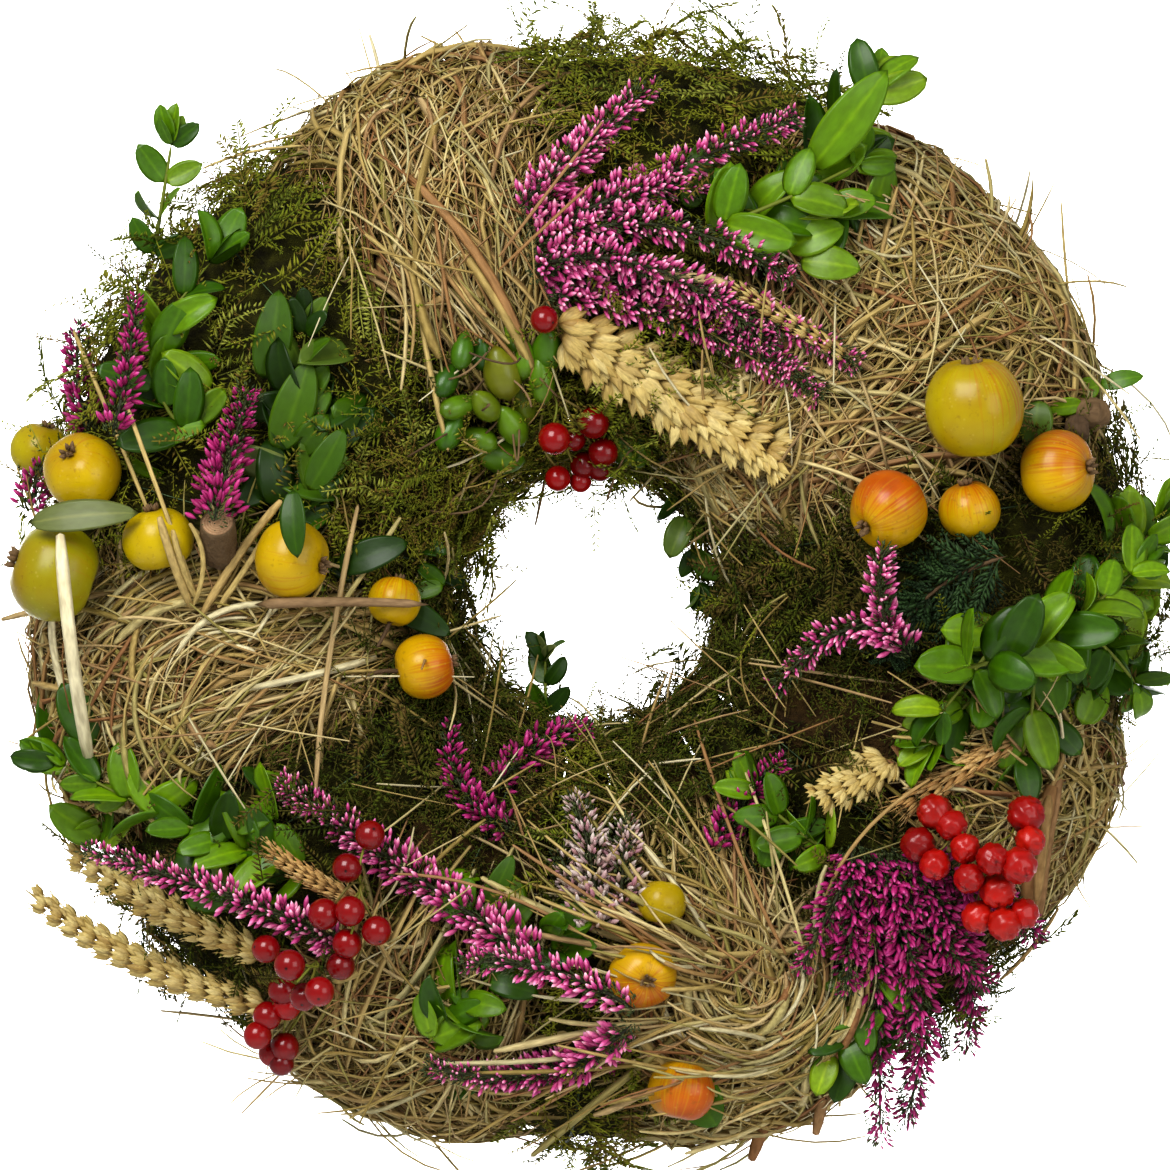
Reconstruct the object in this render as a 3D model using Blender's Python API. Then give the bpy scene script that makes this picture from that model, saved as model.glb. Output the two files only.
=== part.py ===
"""Harvest door wreath: a straw ring covered with moss and hay and dressed with fruit and sprays.

Frame: X to the right, Z up, the wreath looks along -Y and its flat back is towards the door at +Y.
The origin is the top inside of the hanging ring, where the door nail carries the wreath.
Everything except the hanger is laid out from the centre of the straw ring: "out" is measured from
the ring's centre line away from the hole, and a place on the face is (across, up) in millimetres.
"""

import math

import bmesh
import bpy
import numpy as np
from mathutils import Matrix, Vector

MM = 0.001
GAP = 0.3 * MM

# Driving dimensions of the straw ring
RING_RADIUS = 107 * MM
BASE_HALF_WIDTH = 46 * MM
BASE_CORNER = 14 * MM
BASE_SIDE_END = 22 * MM
BASE_DEPTH = 64 * MM

# Binding wire of the straw ring and the groove that it bites into the straw
WIRE_TURNS = 10
WIRE_RADIUS = 0.7 * MM
GROOVE_DEPTH = 2.1 * MM
WIRE_DEPTH = 1.1 * MM
WIRE_PHASE = -6.0
TURN_STATIONS = (0.0, 0.03, 0.10, 0.13, 0.42, 0.71)
GROOVE_FLOOR = (0.03, 0.10)

# Moss and hay cover
COVER_HALF_WIDTH = 64 * MM
COVER_MIDDLE = -38 * MM
COVER_FRONT = 52 * MM
COVER_BACK = 36 * MM
COVER_END_ANGLE = 42.0
COVER_STEP = 6.0
COVER_CLEARANCE = 0.6 * MM
COVER_END_GAP = 0.5
COVER_POWER = 2.4
HAY_FULLNESS = 1.03
MOSS_FULLNESS = 0.97

# Hanger
RING_HOOP_RADIUS = 10 * MM
RING_WIRE_RADIUS = 1.0 * MM
EYE_HOOP_RADIUS = 2.6 * MM
EYE_WIRE_RADIUS = 0.8 * MM
PIN_LENGTH = 24 * MM
PIN_BORE_RADIUS = EYE_WIRE_RADIUS + GAP
HINGE_OUT = BASE_HALF_WIDTH + 1.0 * MM
HINGE_BACK = -4 * MM

HINGE_UP = RING_RADIUS + HINGE_OUT
HANG_UP = HINGE_UP + 2 * RING_HOOP_RADIUS - RING_WIRE_RADIUS
CENTRE = Vector((0, -HINGE_BACK, -HANG_UP))

# How far back a loose tip may sag beside the cover
LOOSE_DEPTH = -45 * MM

# Each cover bundle: name, where it starts and ends round the ring in degrees, and what it is
COVERS = (
    ("moss_top", 60, 97, "moss"),
    ("hay_top_left", 97, 123, "hay"),
    ("moss_upper_left", 123, 178, "moss"),
    ("hay_left", 178, 206, "hay"),
    ("moss_lower_left", 206, 232, "moss"),
    ("hay_bottom_left", 232, 262, "hay"),
    ("moss_bottom", 262, 276, "moss"),
    ("hay_bottom", 276, 303, "hay"),
    ("moss_lower_right", 303, 322, "moss"),
    ("hay_right_low", 322, 346, "hay"),
    ("moss_right", 346, 380, "moss"),
    ("hay_top_right", 20, 60, "hay"),
)

# Crab apples: name, centre (across, up) and radius in millimetres
APPLES = (
    ("apple_left_back", (-171, 45), 9.5),
    ("apple_left_top", (-156, 38), 12.4),
    ("apple_left_outer", (-164, 7), 15.2),
    ("apple_left_mid", (-132, 17), 11.0),
    ("apple_left_stub", (-91, 11), 12.4),
    ("apple_inner_small", (-60, -2), 8.6),
    ("apple_inner_blush", (-51, -22), 10.5),
    ("apple_right_big", (117, 57), 15.5),
    ("apple_right_outer", (143, 38), 12.7),
    ("apple_right_red", (91, 26), 12.6),
    ("apple_right_hidden", (116, 26), 9.9),
    ("apple_bottom_small", (22, -94), 7.8),
    ("apple_bottom_brown", (16, -116), 10.5),
    ("apple_bottom_low", (28, -152), 10.5),
)

# Sprigs and sprays: name, foot, middle and tip (across, up), half width, half thickness, finish
SPRIGS = (
    ("cypress_sprig", ((127, 12), (105, 1), (93, -16)), 12, 4, "cypress"),
    ("box_sprig_left", ((-121, 48), (-133, 72), (-115, 104)), 13, 6, "box_leaf"),
    ("box_sprig_inner_left", ((-88, 30), (-90, 50), (-87, 82)), 13, 5, "box_leaf"),
    ("box_sprig_low_left", ((-84, -84), (-121, -72), (-164, -51)), 13, 5, "box_leaf"),
    ("box_sprig_bottom", ((-50, -138), (-36, -122), (-12, -103)), 12, 5, "box_leaf"),
    ("box_sprig_right", ((112, -22), (136, -14), (168, 8)), 22, 7, "box_leaf"),
    ("box_sprig_top", ((36, 110), (62, 124), (88, 156)), 13, 6, "box_leaf"),
    ("ear_left_upper", ((-101, -110), (-133, -96), (-166, -78)), 7, 5, "ear"),
    ("ear_left_lower", ((-98, -127), (-140, -113), (-178, -91)), 7, 5, "ear"),
    ("ear_big", ((-11, 82), (28, 60), (65, 37)), 11, 8, "ear"),
    ("ear_stub", ((93, -50), (80, -57), (65, -64)), 9, 7, "ear"),
    ("ear_grass", ((130, -45), (113, -54), (93, -67)), 5, 4, "ear"),
)

# Heather: name and for each stem its foot, middle and tip (across, up), half width, half thickness
HEATHERS = (
    ("heather_left_outer", (((-146, 48), (-141, 70), (-139, 91)),), 7, 5),
    ("heather_left_inner", (((-114, 22), (-110, 42), (-104, 63)),), 9, 5),
    ("heather_low_left", (((-74, -107), (-112, -91), (-155, -78)),), 7, 5),
    ("heather_bottom_white", (((3, -103), (0, -80), (-5, -62)),), 9, 6),
    ("heather_bottom_long", (((-14, -113), (-56, -84), (-96, -57)),), 9, 6),
    ("heather_bottom_fan", (((14, -126), (-14, -113), (-40, -112)), ((13, -130), (-14, -146), (-50, -144))), 9, 6),
    ("heather_inner_right", (((98, -19), (80, -10), (56, -29)), ((94, -17), (88, 0), (90, 15))), 9, 5),
    ("heather_droop", (
        ((84, -77), (88, -119), (90, -170)),
        ((88, -79), (101, -126), (98, -164)),
        ((92, -78), (114, -108), (117, -141)),
        ((96, -77), (122, -92), (138, -105)),
        ((82, -80), (74, -95), (64, -115)),
    ), 9, 6),
    ("heather_top", (
        ((-20, 112), (0, 139), (20, 157)),
        ((-16, 108), (28, 131), (64, 146)),
        ((-19, 105), (20, 113), (62, 96)),
        ((-20, 98), (26, 92), (71, 61)),
    ), 9, 6),
)

# Berry bunches: name, stalk foot, middle and tip (across, up), berry radius, how many, finish
BUNCHES = (
    ("green_pods", ((-38, 76), (-34, 58), (-32, 42)), 8.5, 4, "pod"),
    ("berries_lower_left", ((-66, -72), (-80, -94), (-74, -113)), 4.7, 7, "berry"),
    ("berries_low_outer", ((-82, -112), (-98, -120), (-97, -144)), 4.5, 9, "berry"),
    ("berries_right_upper", ((108, -62), (102, -74), (114, -82)), 4.6, 5, "scarlet"),
    ("berries_right_lower", ((133, -66), (127, -80), (126, -100)), 4.6, 8, "scarlet"),
    ("berries_over_hole", ((-12, 57), (-2, 50), (-6, 37)), 4.8, 7, "berry"),
)

SINGLE_BERRY = ("berry_single", (-17, 84), 4.5)

# Woody bits
STUB = ("branch_stub", (-113, 19), 5.5 * MM, 14 * MM)
TWIG = ("brown_twig", ((-104, -3), (-76, -2), (-48, -3)), 1.6, 1.6, "twig")

FINISHES = {
    "straw": ((0.50, 0.38, 0.20), 0.85, 0.0),
    "binding_wire": ((0.20, 0.22, 0.18), 0.45, 0.9),
    "steel": ((0.62, 0.62, 0.62), 0.30, 1.0),
    "moss": ((0.13, 0.17, 0.04), 0.95, 0.0),
    "hay": ((0.52, 0.41, 0.22), 0.85, 0.0),
    "apple": ((0.72, 0.52, 0.08), 0.30, 0.0),
    "berry": ((0.50, 0.01, 0.02), 0.20, 0.0),
    "scarlet": ((0.75, 0.05, 0.02), 0.35, 0.0),
    "pod": ((0.25, 0.38, 0.08), 0.45, 0.0),
    "cypress": ((0.04, 0.10, 0.03), 0.70, 0.0),
    "box_leaf": ((0.10, 0.27, 0.04), 0.40, 0.0),
    "ear": ((0.68, 0.52, 0.28), 0.70, 0.0),
    "heather": ((0.55, 0.08, 0.30), 0.65, 0.0),
    "twig": ((0.22, 0.13, 0.08), 0.80, 0.0),
    "wood": ((0.55, 0.42, 0.28), 0.75, 0.0),
}

# Balls (x, y, z, radius) that stand for every piece already laid on the cover
laid = []


def clear_scene():
    """Remove whatever the file holds, so that the wreath starts from nothing."""
    for thing in list(bpy.data.objects):
        bpy.data.objects.remove(thing, do_unlink=True)


def finish(name):
    """Make one plain material for one piece."""
    colour, roughness, metallic = FINISHES[name]
    material = bpy.data.materials.new(name)
    material.use_nodes = True
    shader = material.node_tree.nodes["Principled BSDF"]
    shader.inputs["Base Color"].default_value = (*colour, 1.0)
    shader.inputs["Roughness"].default_value = roughness
    shader.inputs["Metallic"].default_value = metallic
    return material


def add_piece(name, shape, finish_name, place, parent):
    """Turn a bmesh into a smooth-shaded object at a place under its parent."""
    bmesh.ops.recalc_face_normals(shape, faces=shape.faces)
    mesh = bpy.data.meshes.new(name)
    shape.to_mesh(mesh)
    shape.free()
    mesh.shade_smooth()
    mesh.set_sharp_from_angle(angle=math.radians(40))
    mesh.materials.append(finish(finish_name))
    piece = bpy.data.objects.new(name, mesh)
    bpy.context.collection.objects.link(piece)
    piece.parent = parent
    piece.location = place
    return piece


def use_as_tool(tool, target, operation):
    """Join a helper solid to a piece, or cut it from the piece, and hide the helper."""
    modifier = target.modifiers.new(tool.name, "BOOLEAN")
    modifier.object = tool
    modifier.operation = operation
    modifier.solver = "EXACT"
    tool.hide_render = True
    tool.display_type = "WIRE"


def bridge(shape, ring_a, ring_b):
    """Join two rings of as many points with a band of faces."""
    count = len(ring_a)
    for index in range(count):
        after = (index + 1) % count
        shape.faces.new((ring_a[index], ring_a[after], ring_b[after], ring_b[index]))


def skin(rings, closed=False):
    """Skin a row of rings: either end to end into a hoop, or with a flat cap at each end."""
    shape = bmesh.new()
    made = [[shape.verts.new(point) for point in ring] for ring in rings]
    for ring_a, ring_b in zip(made, made[1:]):
        bridge(shape, ring_a, ring_b)
    if closed:
        bridge(shape, made[-1], made[0])
    else:
        shape.faces.new(made[0])
        shape.faces.new(made[-1])
    return shape


def signed_power(value, power):
    """A power that keeps the sign, for rounded-square outlines."""
    return math.copysign(abs(value) ** power, value)


def base_outline():
    """Outline (out, y) of the straw ring's section: flat back, round back corners, domed front."""
    corner_out = BASE_HALF_WIDTH - BASE_CORNER
    outer = [(corner_out, 0.0)]
    for angle in (60, 30, 0):
        turn = math.radians(angle)
        outer.append((corner_out + BASE_CORNER * math.cos(turn), BASE_CORNER * (math.sin(turn) - 1)))
    for angle in (0, 30, 60):
        turn = math.radians(angle)
        out = BASE_HALF_WIDTH * signed_power(math.cos(turn), 0.8)
        outer.append((out, -BASE_SIDE_END - (BASE_DEPTH - BASE_SIDE_END) * math.sin(turn) ** 0.8))
    inner = [(-out, y) for out, y in reversed(outer)]
    return outer + [(0.0, -BASE_DEPTH)] + inner


def shifted(outline, distance):
    """Move each point of a closed outline along its normal, outwards for a positive distance."""
    moved = []
    count = len(outline)
    for index, point in enumerate(outline):
        before = Vector(outline[index - 1])
        after = Vector(outline[(index + 1) % count])
        here = Vector(point)
        edge_in = (here - before).normalized()
        edge_out = (after - here).normalized()
        normal = (Vector((-edge_in.y, edge_in.x)) + Vector((-edge_out.y, edge_out.x))).normalized()
        mitre = max(normal.dot(Vector((-edge_in.y, edge_in.x))), 0.5)
        moved.append(tuple(here + normal * (distance / mitre)))
    return moved


def round_the_ring(out, y, degrees):
    """Place a section point on the wreath at an angle round it, from the centre of the ring."""
    turn = math.radians(degrees)
    reach = RING_RADIUS + out
    return Vector((reach * math.cos(turn), y, reach * math.sin(turn)))


def helix_angle(turn, row, rows):
    """Angle round the wreath of a helical line after so many turns and rows."""
    return WIRE_PHASE + (turn + row / rows) * 360 / WIRE_TURNS


def straw_base(parent):
    """The straw ring, with the helical groove of its binding wire pressed into it."""
    surface = base_outline()
    floor = shifted(surface, -GROOVE_DEPTH)
    rows = len(surface)
    shape = bmesh.new()
    columns = []
    for turn in range(WIRE_TURNS):
        for station in TURN_STATIONS:
            outline = floor if station in GROOVE_FLOOR else surface
            column = []
            for row, (out, y) in enumerate(outline):
                column.append(shape.verts.new(round_the_ring(out, y, helix_angle(turn + station, row, rows))))
            columns.append(column)
    per_turn = len(TURN_STATIONS)
    total = len(columns)
    for index in range(total):
        here = columns[index]
        beside = columns[(index + 1) % total]
        here_next_turn = columns[(index + per_turn) % total]
        beside_next_turn = columns[(index + 1 + per_turn) % total]
        for row in range(rows):
            if row + 1 < rows:
                shape.faces.new((here[row], here[row + 1], beside[row + 1], beside[row]))
            else:
                shape.faces.new((here[row], here_next_turn[0], beside_next_turn[0], beside[row]))
    return add_piece("straw_base", shape, "straw", (0, 0, 0), parent)


def frame_along(points, closed=False):
    """Sideways and upward unit vectors at each point of a path, carried along without twist."""
    count = len(points)
    tangents = []
    for index in range(count):
        before = points[index - 1] if closed or index else points[0]
        after = points[(index + 1) % count] if closed or index + 1 < count else points[-1]
        tangents.append((after - before).normalized())
    front = Vector((0, -1, 0))
    frames = []
    for tangent in tangents:
        side = tangent.cross(front)
        if side.length < 0.2:
            side = Vector((tangent.z, 0, -tangent.x)) if abs(tangent.y) < 0.9 else Vector((1, 0, 0))
        side.normalize()
        frames.append((side, side.cross(tangent).normalized()))
    return frames


def base_binding_wire(parent):
    """One closed wire that runs round the straw ring in its groove."""
    line = shifted(base_outline(), -WIRE_DEPTH)
    rows = len(line)
    middle = sum(GROOVE_FLOOR) / 2
    rings = []
    for turn in range(WIRE_TURNS):
        for row in range(rows):
            out, y = line[row]
            degrees = helix_angle(turn + middle, row, rows)
            centre = round_the_ring(out, y, degrees)
            before = line[row - 1]
            after = line[(row + 1) % rows]
            run = (Vector(after) - Vector(before)).normalized()
            lift = Vector((math.cos(math.radians(degrees)), 0, math.sin(math.radians(degrees))))
            outward = lift * -run.y + Vector((0, run.x, 0))
            sideways = Vector((-lift.z, 0, lift.x))
            ring = []
            for corner in range(4):
                angle = math.radians(45 + 90 * corner)
                ring.append(centre + (outward * math.cos(angle) + sideways * math.sin(angle)) * WIRE_RADIUS)
            rings.append(ring)
    return add_piece("base_binding_wire", skin(rings, closed=True), "binding_wire", (0, 0, 0), parent)


def cover_outline(fullness, steps):
    """Outer outline (out, y) of the moss and hay, from the outer back edge over the front."""
    outline = []
    for step in range(steps + 1):
        sweep = -COVER_END_ANGLE + (180 + 2 * COVER_END_ANGLE) * step / steps
        turn = math.radians(sweep)
        out = COVER_HALF_WIDTH * fullness * signed_power(math.cos(turn), 2 / COVER_POWER)
        rise = signed_power(math.sin(turn), 2 / COVER_POWER)
        depth = COVER_FRONT * fullness if rise > 0 else COVER_BACK
        outline.append((out, COVER_MIDDLE - depth * rise))
    return outline


def cover_section(fullness):
    """Closed outline of one cover bundle: its outer surface and the hollow that fits the straw."""
    outer = cover_outline(fullness, 9)
    back = outer[0][1]
    lining = [point for point in shifted(base_outline(), COVER_CLEARANCE) if point[1] < back]
    seat_out = BASE_HALF_WIDTH + COVER_CLEARANCE
    inner = [(-seat_out, back)] + list(reversed(lining)) + [(seat_out, back)]
    return outer + inner


def cover_fullness(degrees):
    """How full the cover is at an angle round the wreath."""
    for _, start, end, kind in COVERS:
        if start <= degrees % 360 < end or start <= degrees % 360 + 360 < end:
            return HAY_FULLNESS if kind == "hay" else MOSS_FULLNESS
    return HAY_FULLNESS


def cover_bundle(name, start, end, kind, parent):
    """One bundle of moss or hay, bent over the front and sides of the straw ring."""
    section = cover_section(HAY_FULLNESS if kind == "hay" else MOSS_FULLNESS)
    first = start + COVER_END_GAP / 2
    last = end - COVER_END_GAP / 2
    steps = math.ceil((last - first) / COVER_STEP)
    rings = []
    for step in range(steps + 1):
        degrees = first + (last - first) * step / steps
        rings.append([round_the_ring(out, y, degrees) for out, y in section])
    return add_piece(name, skin(rings), kind, (0, 0, 0), parent)


def seat(across, up, radius):
    """Depth at which a ball, pushed back from the front, just clears the cover and the laid pieces."""
    reach = math.hypot(across, up)
    degrees = math.degrees(math.atan2(up, across))
    turn = math.degrees(radius / max(reach, COVER_FRONT))
    fullness = max(cover_fullness(degrees + side) for side in (-turn, 0, turn))
    outline = np.array(cover_outline(fullness, 60))
    aside = outline[:, 0] + RING_RADIUS - reach
    near = np.abs(aside) < radius
    depth = LOOSE_DEPTH
    if near.any():
        depth = min(depth, float(np.min(outline[near, 1] - np.sqrt(radius ** 2 - aside[near] ** 2))))
    if laid:
        balls = np.array(laid)
        apart = np.hypot(balls[:, 0] - across, balls[:, 2] - up)
        total = balls[:, 3] + radius
        near = apart < total
        if near.any():
            depth = min(depth, float(np.min(balls[near, 1] - np.sqrt(total[near] ** 2 - apart[near] ** 2))))
    return depth - 2 * GAP


def bend(foot, middle, tip, count):
    """Points (across, up) on an even curve from a foot past a middle to a tip, in metres."""
    foot, middle, tip = (Vector(place) * MM for place in (foot, middle, tip))
    pull = 2 * middle - (foot + tip) / 2
    points = []
    for index in range(count):
        t = index / (count - 1)
        points.append(foot * (1 - t) ** 2 + pull * 2 * t * (1 - t) + tip * t ** 2)
    return points


def lay_line(flat_points, width, thickness, swell):
    """Drape a line over the wreath: its points with a depth that clears everything beneath.

    Each point takes the frontmost depth of the fine points around it, so the straight runs
    between the points stay clear too. Returns the points and the balls that stand for the line.
    """
    count = len(flat_points)
    fine = 4
    places = []
    for index in range(count - 1):
        for part in range(fine):
            places.append((index + part / fine, flat_points[index].lerp(flat_points[index + 1], part / fine)))
    places.append((count - 1, flat_points[-1]))
    depths = []
    for order, (along, place) in enumerate(places):
        size = swell(along / (count - 1))
        ahead = places[min(order + 1, len(places) - 1)][1] - places[max(order - 1, 0)][1]
        side = Vector((-ahead.y, ahead.x)).normalized()
        spread = max(width - thickness, 0) * size
        ways = (-1, -0.5, 0, 0.5, 1) if spread else (0,)
        spots = [place + side * spread * way for way in ways]
        depths.append((along, spots, min(seat(spot.x, spot.y, thickness * size) for spot in spots), size))
    points = []
    for index, place in enumerate(flat_points):
        depth = min(item[2] for item in depths if abs(item[0] - index) <= 1)
        points.append(Vector((place.x, depth, place.y)))
    balls = []
    for along, spots, _, size in depths:
        low = int(min(along, count - 2))
        depth = points[low].y + (points[low + 1].y - points[low].y) * (along - low)
        balls += [(spot.x, depth, spot.y, thickness * size) for spot in spots]
    return points, balls


def spindle(t):
    """Relative thickness along a spray: rounded at the foot, fullest before the middle, thin tip."""
    return 0.45 + 0.55 * math.sin(math.pi * min(max(0.12 + 0.80 * t, 0), 1)) ** 0.7


def spray_shape(points, width, thickness, sides=8):
    """Closed spindle of oval section along a draped line."""
    rings = []
    count = len(points)
    for index, (point, (side, lift)) in enumerate(zip(points, frame_along(points))):
        size = spindle(index / (count - 1))
        ring = []
        for corner in range(sides):
            angle = 2 * math.pi * (corner + 0.5) / sides
            offset = side * width * math.cos(angle) + lift * thickness * math.sin(angle)
            ring.append(point + offset * size)
        rings.append(ring)
    return skin(rings)


def add_spray(name, route, width, thickness, finish_name, parent, rings=8):
    """Lay one spray, sprig, ear or twig on the wreath."""
    points, balls = lay_line(bend(*route, rings), width * MM, thickness * MM, spindle)
    shape = spray_shape(points, width * MM, thickness * MM)
    laid.extend(balls)
    return add_piece(name, shape, finish_name, (0, 0, 0), parent)


def add_fan(name, routes, width, thickness, finish_name, parent):
    """Lay a fan of sprays that share a foot, and join them into one solid."""
    pieces = []
    fan_balls = []
    for order, route in enumerate(routes):
        points, balls = lay_line(bend(*route, 7), width * MM, thickness * MM, spindle)
        shape = spray_shape(points, width * MM, thickness * MM)
        label = name if order == 0 else f"{name}_stem_{order}"
        pieces.append(add_piece(label, shape, finish_name, (0, 0, 0), parent))
        fan_balls += balls
    laid.extend(fan_balls)
    for helper in pieces[1:]:
        use_as_tool(helper, pieces[0], "UNION")
    return pieces[0]


def turned(profile, sides):
    """Solid turned about Z from a profile of (radius, height) that starts and ends on the axis."""
    shape = bmesh.new()
    low = shape.verts.new((0, 0, profile[0][1]))
    high = shape.verts.new((0, 0, profile[-1][1]))
    rings = []
    for radius, height in profile[1:-1]:
        ring = []
        for corner in range(sides):
            angle = 2 * math.pi * corner / sides
            ring.append(shape.verts.new((radius * math.cos(angle), radius * math.sin(angle), height)))
        rings.append(ring)
    for ring_a, ring_b in zip(rings, rings[1:]):
        bridge(shape, ring_a, ring_b)
    for corner in range(sides):
        after = (corner + 1) % sides
        shape.faces.new((low, rings[0][after], rings[0][corner]))
        shape.faces.new((high, rings[-1][corner], rings[-1][after]))
    return shape


def apple_profile(radius):
    """Half outline of a crab apple, with a hollow at the stalk and at the calyx."""
    profile = [(0, -0.80 * radius)]
    for angle in (-72, -45, -15, 15, 45, 72):
        turn = math.radians(angle)
        profile.append((radius * math.cos(turn) ** 0.9, 0.96 * radius * math.sin(turn)))
    profile.append((0, 0.78 * radius))
    return profile


def add_apple(name, place, radius, parent):
    """One crab apple, set on the cover."""
    across, up = (value * MM for value in place)
    size = radius * MM
    depth = seat(across, up, size)
    laid.append((across, depth, up, size))
    return add_piece(name, turned(apple_profile(size), 12), "apple", (across, depth, up), parent)


def ball(centre, radius):
    """A round berry as a plain faceted ball."""
    shape = bmesh.new()
    bmesh.ops.create_icosphere(shape, subdivisions=1, radius=radius, matrix=Matrix.Translation(centre))
    return shape


def add_bunch(name, route, berry_radius, count, finish_name, parent):
    """A bunch of berries set left and right along a stalk, joined into one solid."""
    radius = berry_radius * MM
    offset = 0.5 * radius
    flat_points = bend(*route, count + 1)
    points, balls = lay_line(flat_points, radius + 2 * offset, radius, lambda t: 1.0)
    laid.extend(balls)
    frames = frame_along(points)
    rings = []
    for point, (side, lift) in zip(points, frames):
        corners = (2 * math.pi * corner / 6 for corner in range(6))
        rings.append([point + (side * math.cos(a) + lift * math.sin(a)) * 0.25 * radius for a in corners])
    bunch = add_piece(name, skin(rings), finish_name, (0, 0, 0), parent)
    for order in range(count):
        way = 1 if order % 2 else -1
        middle = points[order].lerp(points[order + 1], 0.5)
        centre = middle + frames[order][0] * offset * way
        helper = add_piece(f"{name}_berry_{order}", ball(centre, radius), finish_name, (0, 0, 0), parent)
        use_as_tool(helper, bunch, "UNION")
    return bunch


def add_single_berry(parent):
    """The single wrinkled berry at the foot of the big ear."""
    name, place, radius = SINGLE_BERRY
    across, up = (value * MM for value in place)
    depth = seat(across, up, radius * MM)
    laid.append((across, depth, up, radius * MM))
    shape = ball((0, 0, 0), radius * MM)
    return add_piece(name, shape, "berry", (across, depth, up), parent)


def add_stub(parent):
    """Sawn branch stub that stands out of the moss with its cut end to the front."""
    name, place, radius, length = STUB
    across, up = (value * MM for value in place)
    depth = seat(across, up, radius)
    shape = bmesh.new()
    bmesh.ops.create_cone(
        shape, cap_ends=True, segments=12, radius1=radius, radius2=0.9 * radius, depth=length,
        matrix=Matrix.Rotation(math.radians(90), 4, "X"))
    centre = Vector((across, depth - length / 2, up))
    laid.append((across, depth - length, up, 1.2 * radius))
    laid.append((across, centre.y, up, radius))
    return add_piece(name, shape, "wood", centre, parent)


def hoop(hoop_radius, wire_radius, axis, segments, sides):
    """A closed wire hoop about its own centre, square to an axis ("X" or "Y")."""
    rings = []
    for segment in range(segments):
        turn = 2 * math.pi * segment / segments
        if axis == "Y":
            out = Vector((math.cos(turn), 0, math.sin(turn)))
            along = Vector((0, 1, 0))
        else:
            out = Vector((0, math.cos(turn), math.sin(turn)))
            along = Vector((1, 0, 0))
        ring = []
        for corner in range(sides):
            angle = 2 * math.pi * corner / sides
            ring.append(out * (hoop_radius + wire_radius * math.cos(angle)) + along * wire_radius * math.sin(angle))
        rings.append(ring)
    return skin(rings, closed=True)


def pin_shape(length, radius, start, heading):
    """A round pin from a start point along a heading."""
    shape = bmesh.new()
    turn = Vector((0, 0, 1)).rotation_difference(heading).to_matrix().to_4x4()
    middle = Matrix.Translation(start + heading * length / 2)
    bmesh.ops.create_cone(shape, cap_ends=True, segments=10, radius1=radius, radius2=radius,
                          depth=length, matrix=middle @ turn)
    return shape


def hanger(parent, base):
    """Eye pin pressed into the straw at the top of the back, and the steel ring that swings in it."""
    hinge = Vector((0, HINGE_BACK, HINGE_UP))
    corner = Vector((0, -BASE_CORNER, RING_RADIUS + BASE_HALF_WIDTH - BASE_CORNER))
    heading = (corner - hinge).normalized()
    eye = add_piece("hanger_eye_pin", hoop(EYE_HOOP_RADIUS, EYE_WIRE_RADIUS, "X", 12, 6), "steel", hinge, parent)
    shank = add_piece("hanger_shank", pin_shape(PIN_LENGTH, EYE_WIRE_RADIUS, heading * EYE_HOOP_RADIUS, heading),
                      "steel", hinge, parent)
    use_as_tool(shank, eye, "UNION")
    reach = PIN_LENGTH + EYE_HOOP_RADIUS + 2 * GAP
    bore = add_piece("hanger_bore", pin_shape(reach, PIN_BORE_RADIUS, Vector((0, 0, 0)), heading),
                     "steel", hinge, parent)
    use_as_tool(bore, base, "DIFFERENCE")
    ring_mesh = hoop(RING_HOOP_RADIUS, RING_WIRE_RADIUS, "Y", 20, 8)
    bmesh.ops.translate(ring_mesh, verts=ring_mesh.verts, vec=(0, 0, RING_HOOP_RADIUS))
    add_piece("hanging_ring", ring_mesh, "steel", hinge, parent)


def build():
    """Build the wreath about its own centre, carried by one empty."""
    clear_scene()
    centre = bpy.data.objects.new("wreath_centre", None)
    bpy.context.collection.objects.link(centre)
    centre.location = CENTRE
    base = straw_base(centre)
    base_binding_wire(centre)
    hanger(centre, base)
    for cover in COVERS:
        cover_bundle(*cover, centre)
    for apple in APPLES:
        add_apple(*apple, centre)
    add_stub(centre)
    for bunch in BUNCHES[:1]:
        add_bunch(*bunch, centre)
    for sprig in SPRIGS:
        add_spray(*sprig, centre)
    for heather in HEATHERS:
        add_fan(*heather, "heather", centre)
    add_spray(*TWIG, centre)
    for bunch in BUNCHES[1:]:
        add_bunch(*bunch, centre)
    add_single_berry(centre)


build()
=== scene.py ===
"""Looks of the harvest door wreath: moss, hay, fruit, heather, box leaves and grain ears.

Every piece grows from one idea: an outline carried along a path. A hay strand, a leaf, a bud, a
berry and a grain of an ear differ only in their path, their widths and how flat their section is.
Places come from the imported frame; lengths are in metres and angles round the wreath in degrees,
counted from the right-hand side upwards. Faces look out along -Y and the back is towards +Y.
"""

import logging
import math
from dataclasses import dataclass, field
from enum import Enum

import bpy
import numpy as np
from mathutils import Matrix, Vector
from numpy.random import Generator


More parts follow.
